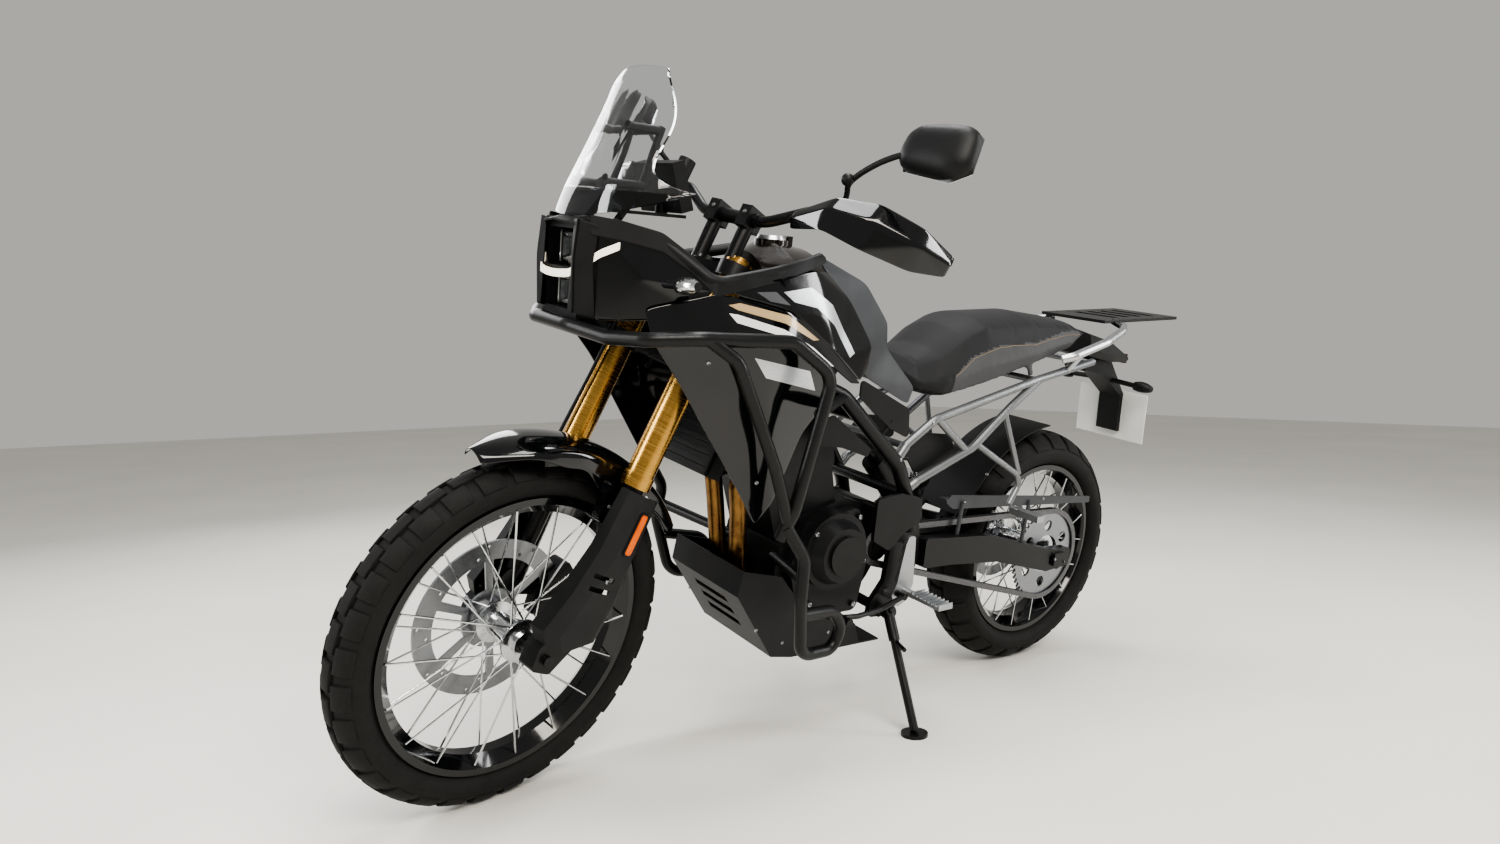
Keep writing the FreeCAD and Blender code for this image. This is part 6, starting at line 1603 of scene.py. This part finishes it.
hose_mesh = round_tube("brake_hose", [fork(*point) for point in HOSE_ROUTE], HOSE_RADIUS_MM, 4)
hand_over(new_piece("brake_hose", hose_mesh, hose_rubber), "steering", (), 60.0)

# %% [markdown]
# Painted shade behind the guards' slots
#
# The two slots in each fork guard would show the dark inside of the guard. A slim black plate with rounded edges
# is put behind them as painted shade for it, out of sight apart from what shows through the slots.

# %% Plates of painted shade behind the fork guards' slots
SHADE_PLATE_MIDDLE = (27, 127, -531)
SHADE_PLATE_SIZE = (0.052, 0.003, 0.046)

# A black plate behind each guard's slots: painted shade that stands in for the dark inside of the guard.
shade_plate_table = bmesh.new()
for side in SIDES:
    u, v, w = SHADE_PLATE_MIDDLE
    place = FORK @ Matrix.Translation(Vector((u, side * v, w)) * MM)
    bmesh.ops.create_cube(shade_plate_table, size=1.0, matrix=place @ Matrix.Diagonal((*SHADE_PLATE_SIZE, 1.0)))
slot_shade_plates = piece_from(shade_plate_table, "guard_slot_backs", black_moulding)
round_edges(slot_shade_plates, 1.0)
hand_over(slot_shade_plates, "steering")

# %% [markdown]
# The mirrors
#
# A mirror's housing is moulded in one piece with a smooth domed back, on a stem with a ball joint. The
# outline is given by eight corner points, and cutting its corners three times over turns them into one
# flowing curve. Copies of that curve, smaller and smaller towards the front, make the dome. The stem is
# a smooth curve with a round section, its joint is a ball, and its foot is a nut.

# %% Housings, stems and joints
HEAD_MIDDLE = Vector((30, 422, 400))
HEAD_CORNERS = ((-76, -18), (-62, -42), (38, -50), (74, -28), (66, 38), (42, 52), (-50, 44), (-74, 22))
DOME = ((-18, 1.0), (-8, 1.0), (-1, 0.975), (6, 0.91), (12, 0.79), (16, 0.62), (18.5, 0.4), (19.5, 0.18))
STEM = ((-20.6, 238.7, 286), (-17, 244, 306), (24, 262, 322), (36, 356, 384), (24, 410, 398))
STEM_RADIUS = 5.5
BALL_RADIUS = 12.0
NUT_RADIUS = 10.0


def corners_cut(points, rounds):
    """Replaces every corner of a closed outline by two points beside it, several times."""
    for _ in range(rounds):
        points = [(a[0] + (b[0] - a[0]) * share, a[1] + (b[1] - a[1]) * share)
                  for a, b in zip(points, points[1:] + points[:1]) for share in (0.2, 0.8)]
    return points


housing = bmesh.new()
outline = corners_cut(list(HEAD_CORNERS), 3)
for side in SIDES:
    rings = [[housing.verts.new(fork(HEAD_MIDDLE.x + shift, side * (HEAD_MIDDLE.y + y * scale),
                                     HEAD_MIDDLE.z + z * scale)) for y, z in outline]
             for shift, scale in DOME]
    housing.faces.new(rings[0])
    loft(housing, rings)
    foot_u, foot_v, foot_w = STEM[0]
    ball_u, ball_v, ball_w = STEM[2]
    ball = FORK @ Matrix.Translation(Vector((ball_u, side * ball_v, ball_w)) * MM)
    bmesh.ops.create_uvsphere(housing, u_segments=24, v_segments=14, radius=BALL_RADIUS * MM, matrix=ball)
    round_bar(housing, fork(foot_u, side * foot_v, foot_w - 6), fork(foot_u, side * foot_v, foot_w + 12),
              NUT_RADIUS, 6)
    housing.from_mesh(round_tube("mirror_stem", [fork(u, side * v, w) for u, v, w in STEM], STEM_RADIUS, 5))
bmesh.ops.recalc_face_normals(housing, faces=housing.faces[:])
mirrors = piece_from(housing, "mirror_housings", black_moulding)
hand_over(mirrors, "steering", ("mirrors",), 40.0)

# %% [markdown]
# The studio
#
# A wide pale floor under a pale sky, and soft light from large lamps, as a product photographer would
# set it. Black gloss only shows by what it reflects, so the lamps are long strips: each panel's curve
# then carries a clean bright line. All of the lamps look at one point, near the middle of the machine.

# %% Floor, sky and lights
FLOOR_HALF = 12.0
SKY_STRENGTH = 0.55
MIDDLE = (0.1, 0.0, 0.8)


def lamp(name, size_x, size_y, power, place, tone="#ffffff"):
    """An area light that looks at the middle of the machine."""
    data = bpy.data.lights.new(name, "AREA")
    data.shape = "RECTANGLE"
    data.size = size_x
    data.size_y = size_y
    data.energy = power
    data.color = colour(tone)[:3]
    made = bpy.data.objects.new(name, data)
    bpy.context.scene.collection.objects.link(made)
    made.location = place
    made.rotation_euler = (Vector(MIDDLE) - Vector(place)).to_track_quat("-Z", "Y").to_euler()


floor_paint, tree, shader, place = blank("studio_paper", {"Roughness": 0.55})
clouds(tree, shader, place, 900.0, 3.0, "#d8d6d0", "#e0ded8")
table = bmesh.new()
bmesh.ops.create_grid(table, x_segments=2, y_segments=2, size=FLOOR_HALF)
piece_from(table, "studio_floor", floor_paint)

world = bpy.data.worlds.new("studio_air")
world.use_nodes = True
sky = world.node_tree.nodes["Background"]
sky.inputs["Color"].default_value = colour("#e4e2dd")
sky.inputs["Strength"].default_value = SKY_STRENGTH
bpy.context.scene.world = world
bpy.context.scene.view_settings.look = "AgX - Medium High Contrast"

lamp("key", 3.0, 1.2, 200.0, (1.2, 3.2, 3.2), "#fff8ee")
lamp("overhead", 3.6, 1.0, 120.0, (-0.2, 0.2, 3.8))
lamp("front_strip", 0.5, 2.6, 70.0, (3.4, -0.6, 1.8))
lamp("rear_strip", 0.6, 2.8, 80.0, (-3.2, 2.2, 1.9))
lamp("right_fill", 2.6, 1.6, 60.0, (0.6, -3.4, 2.4))
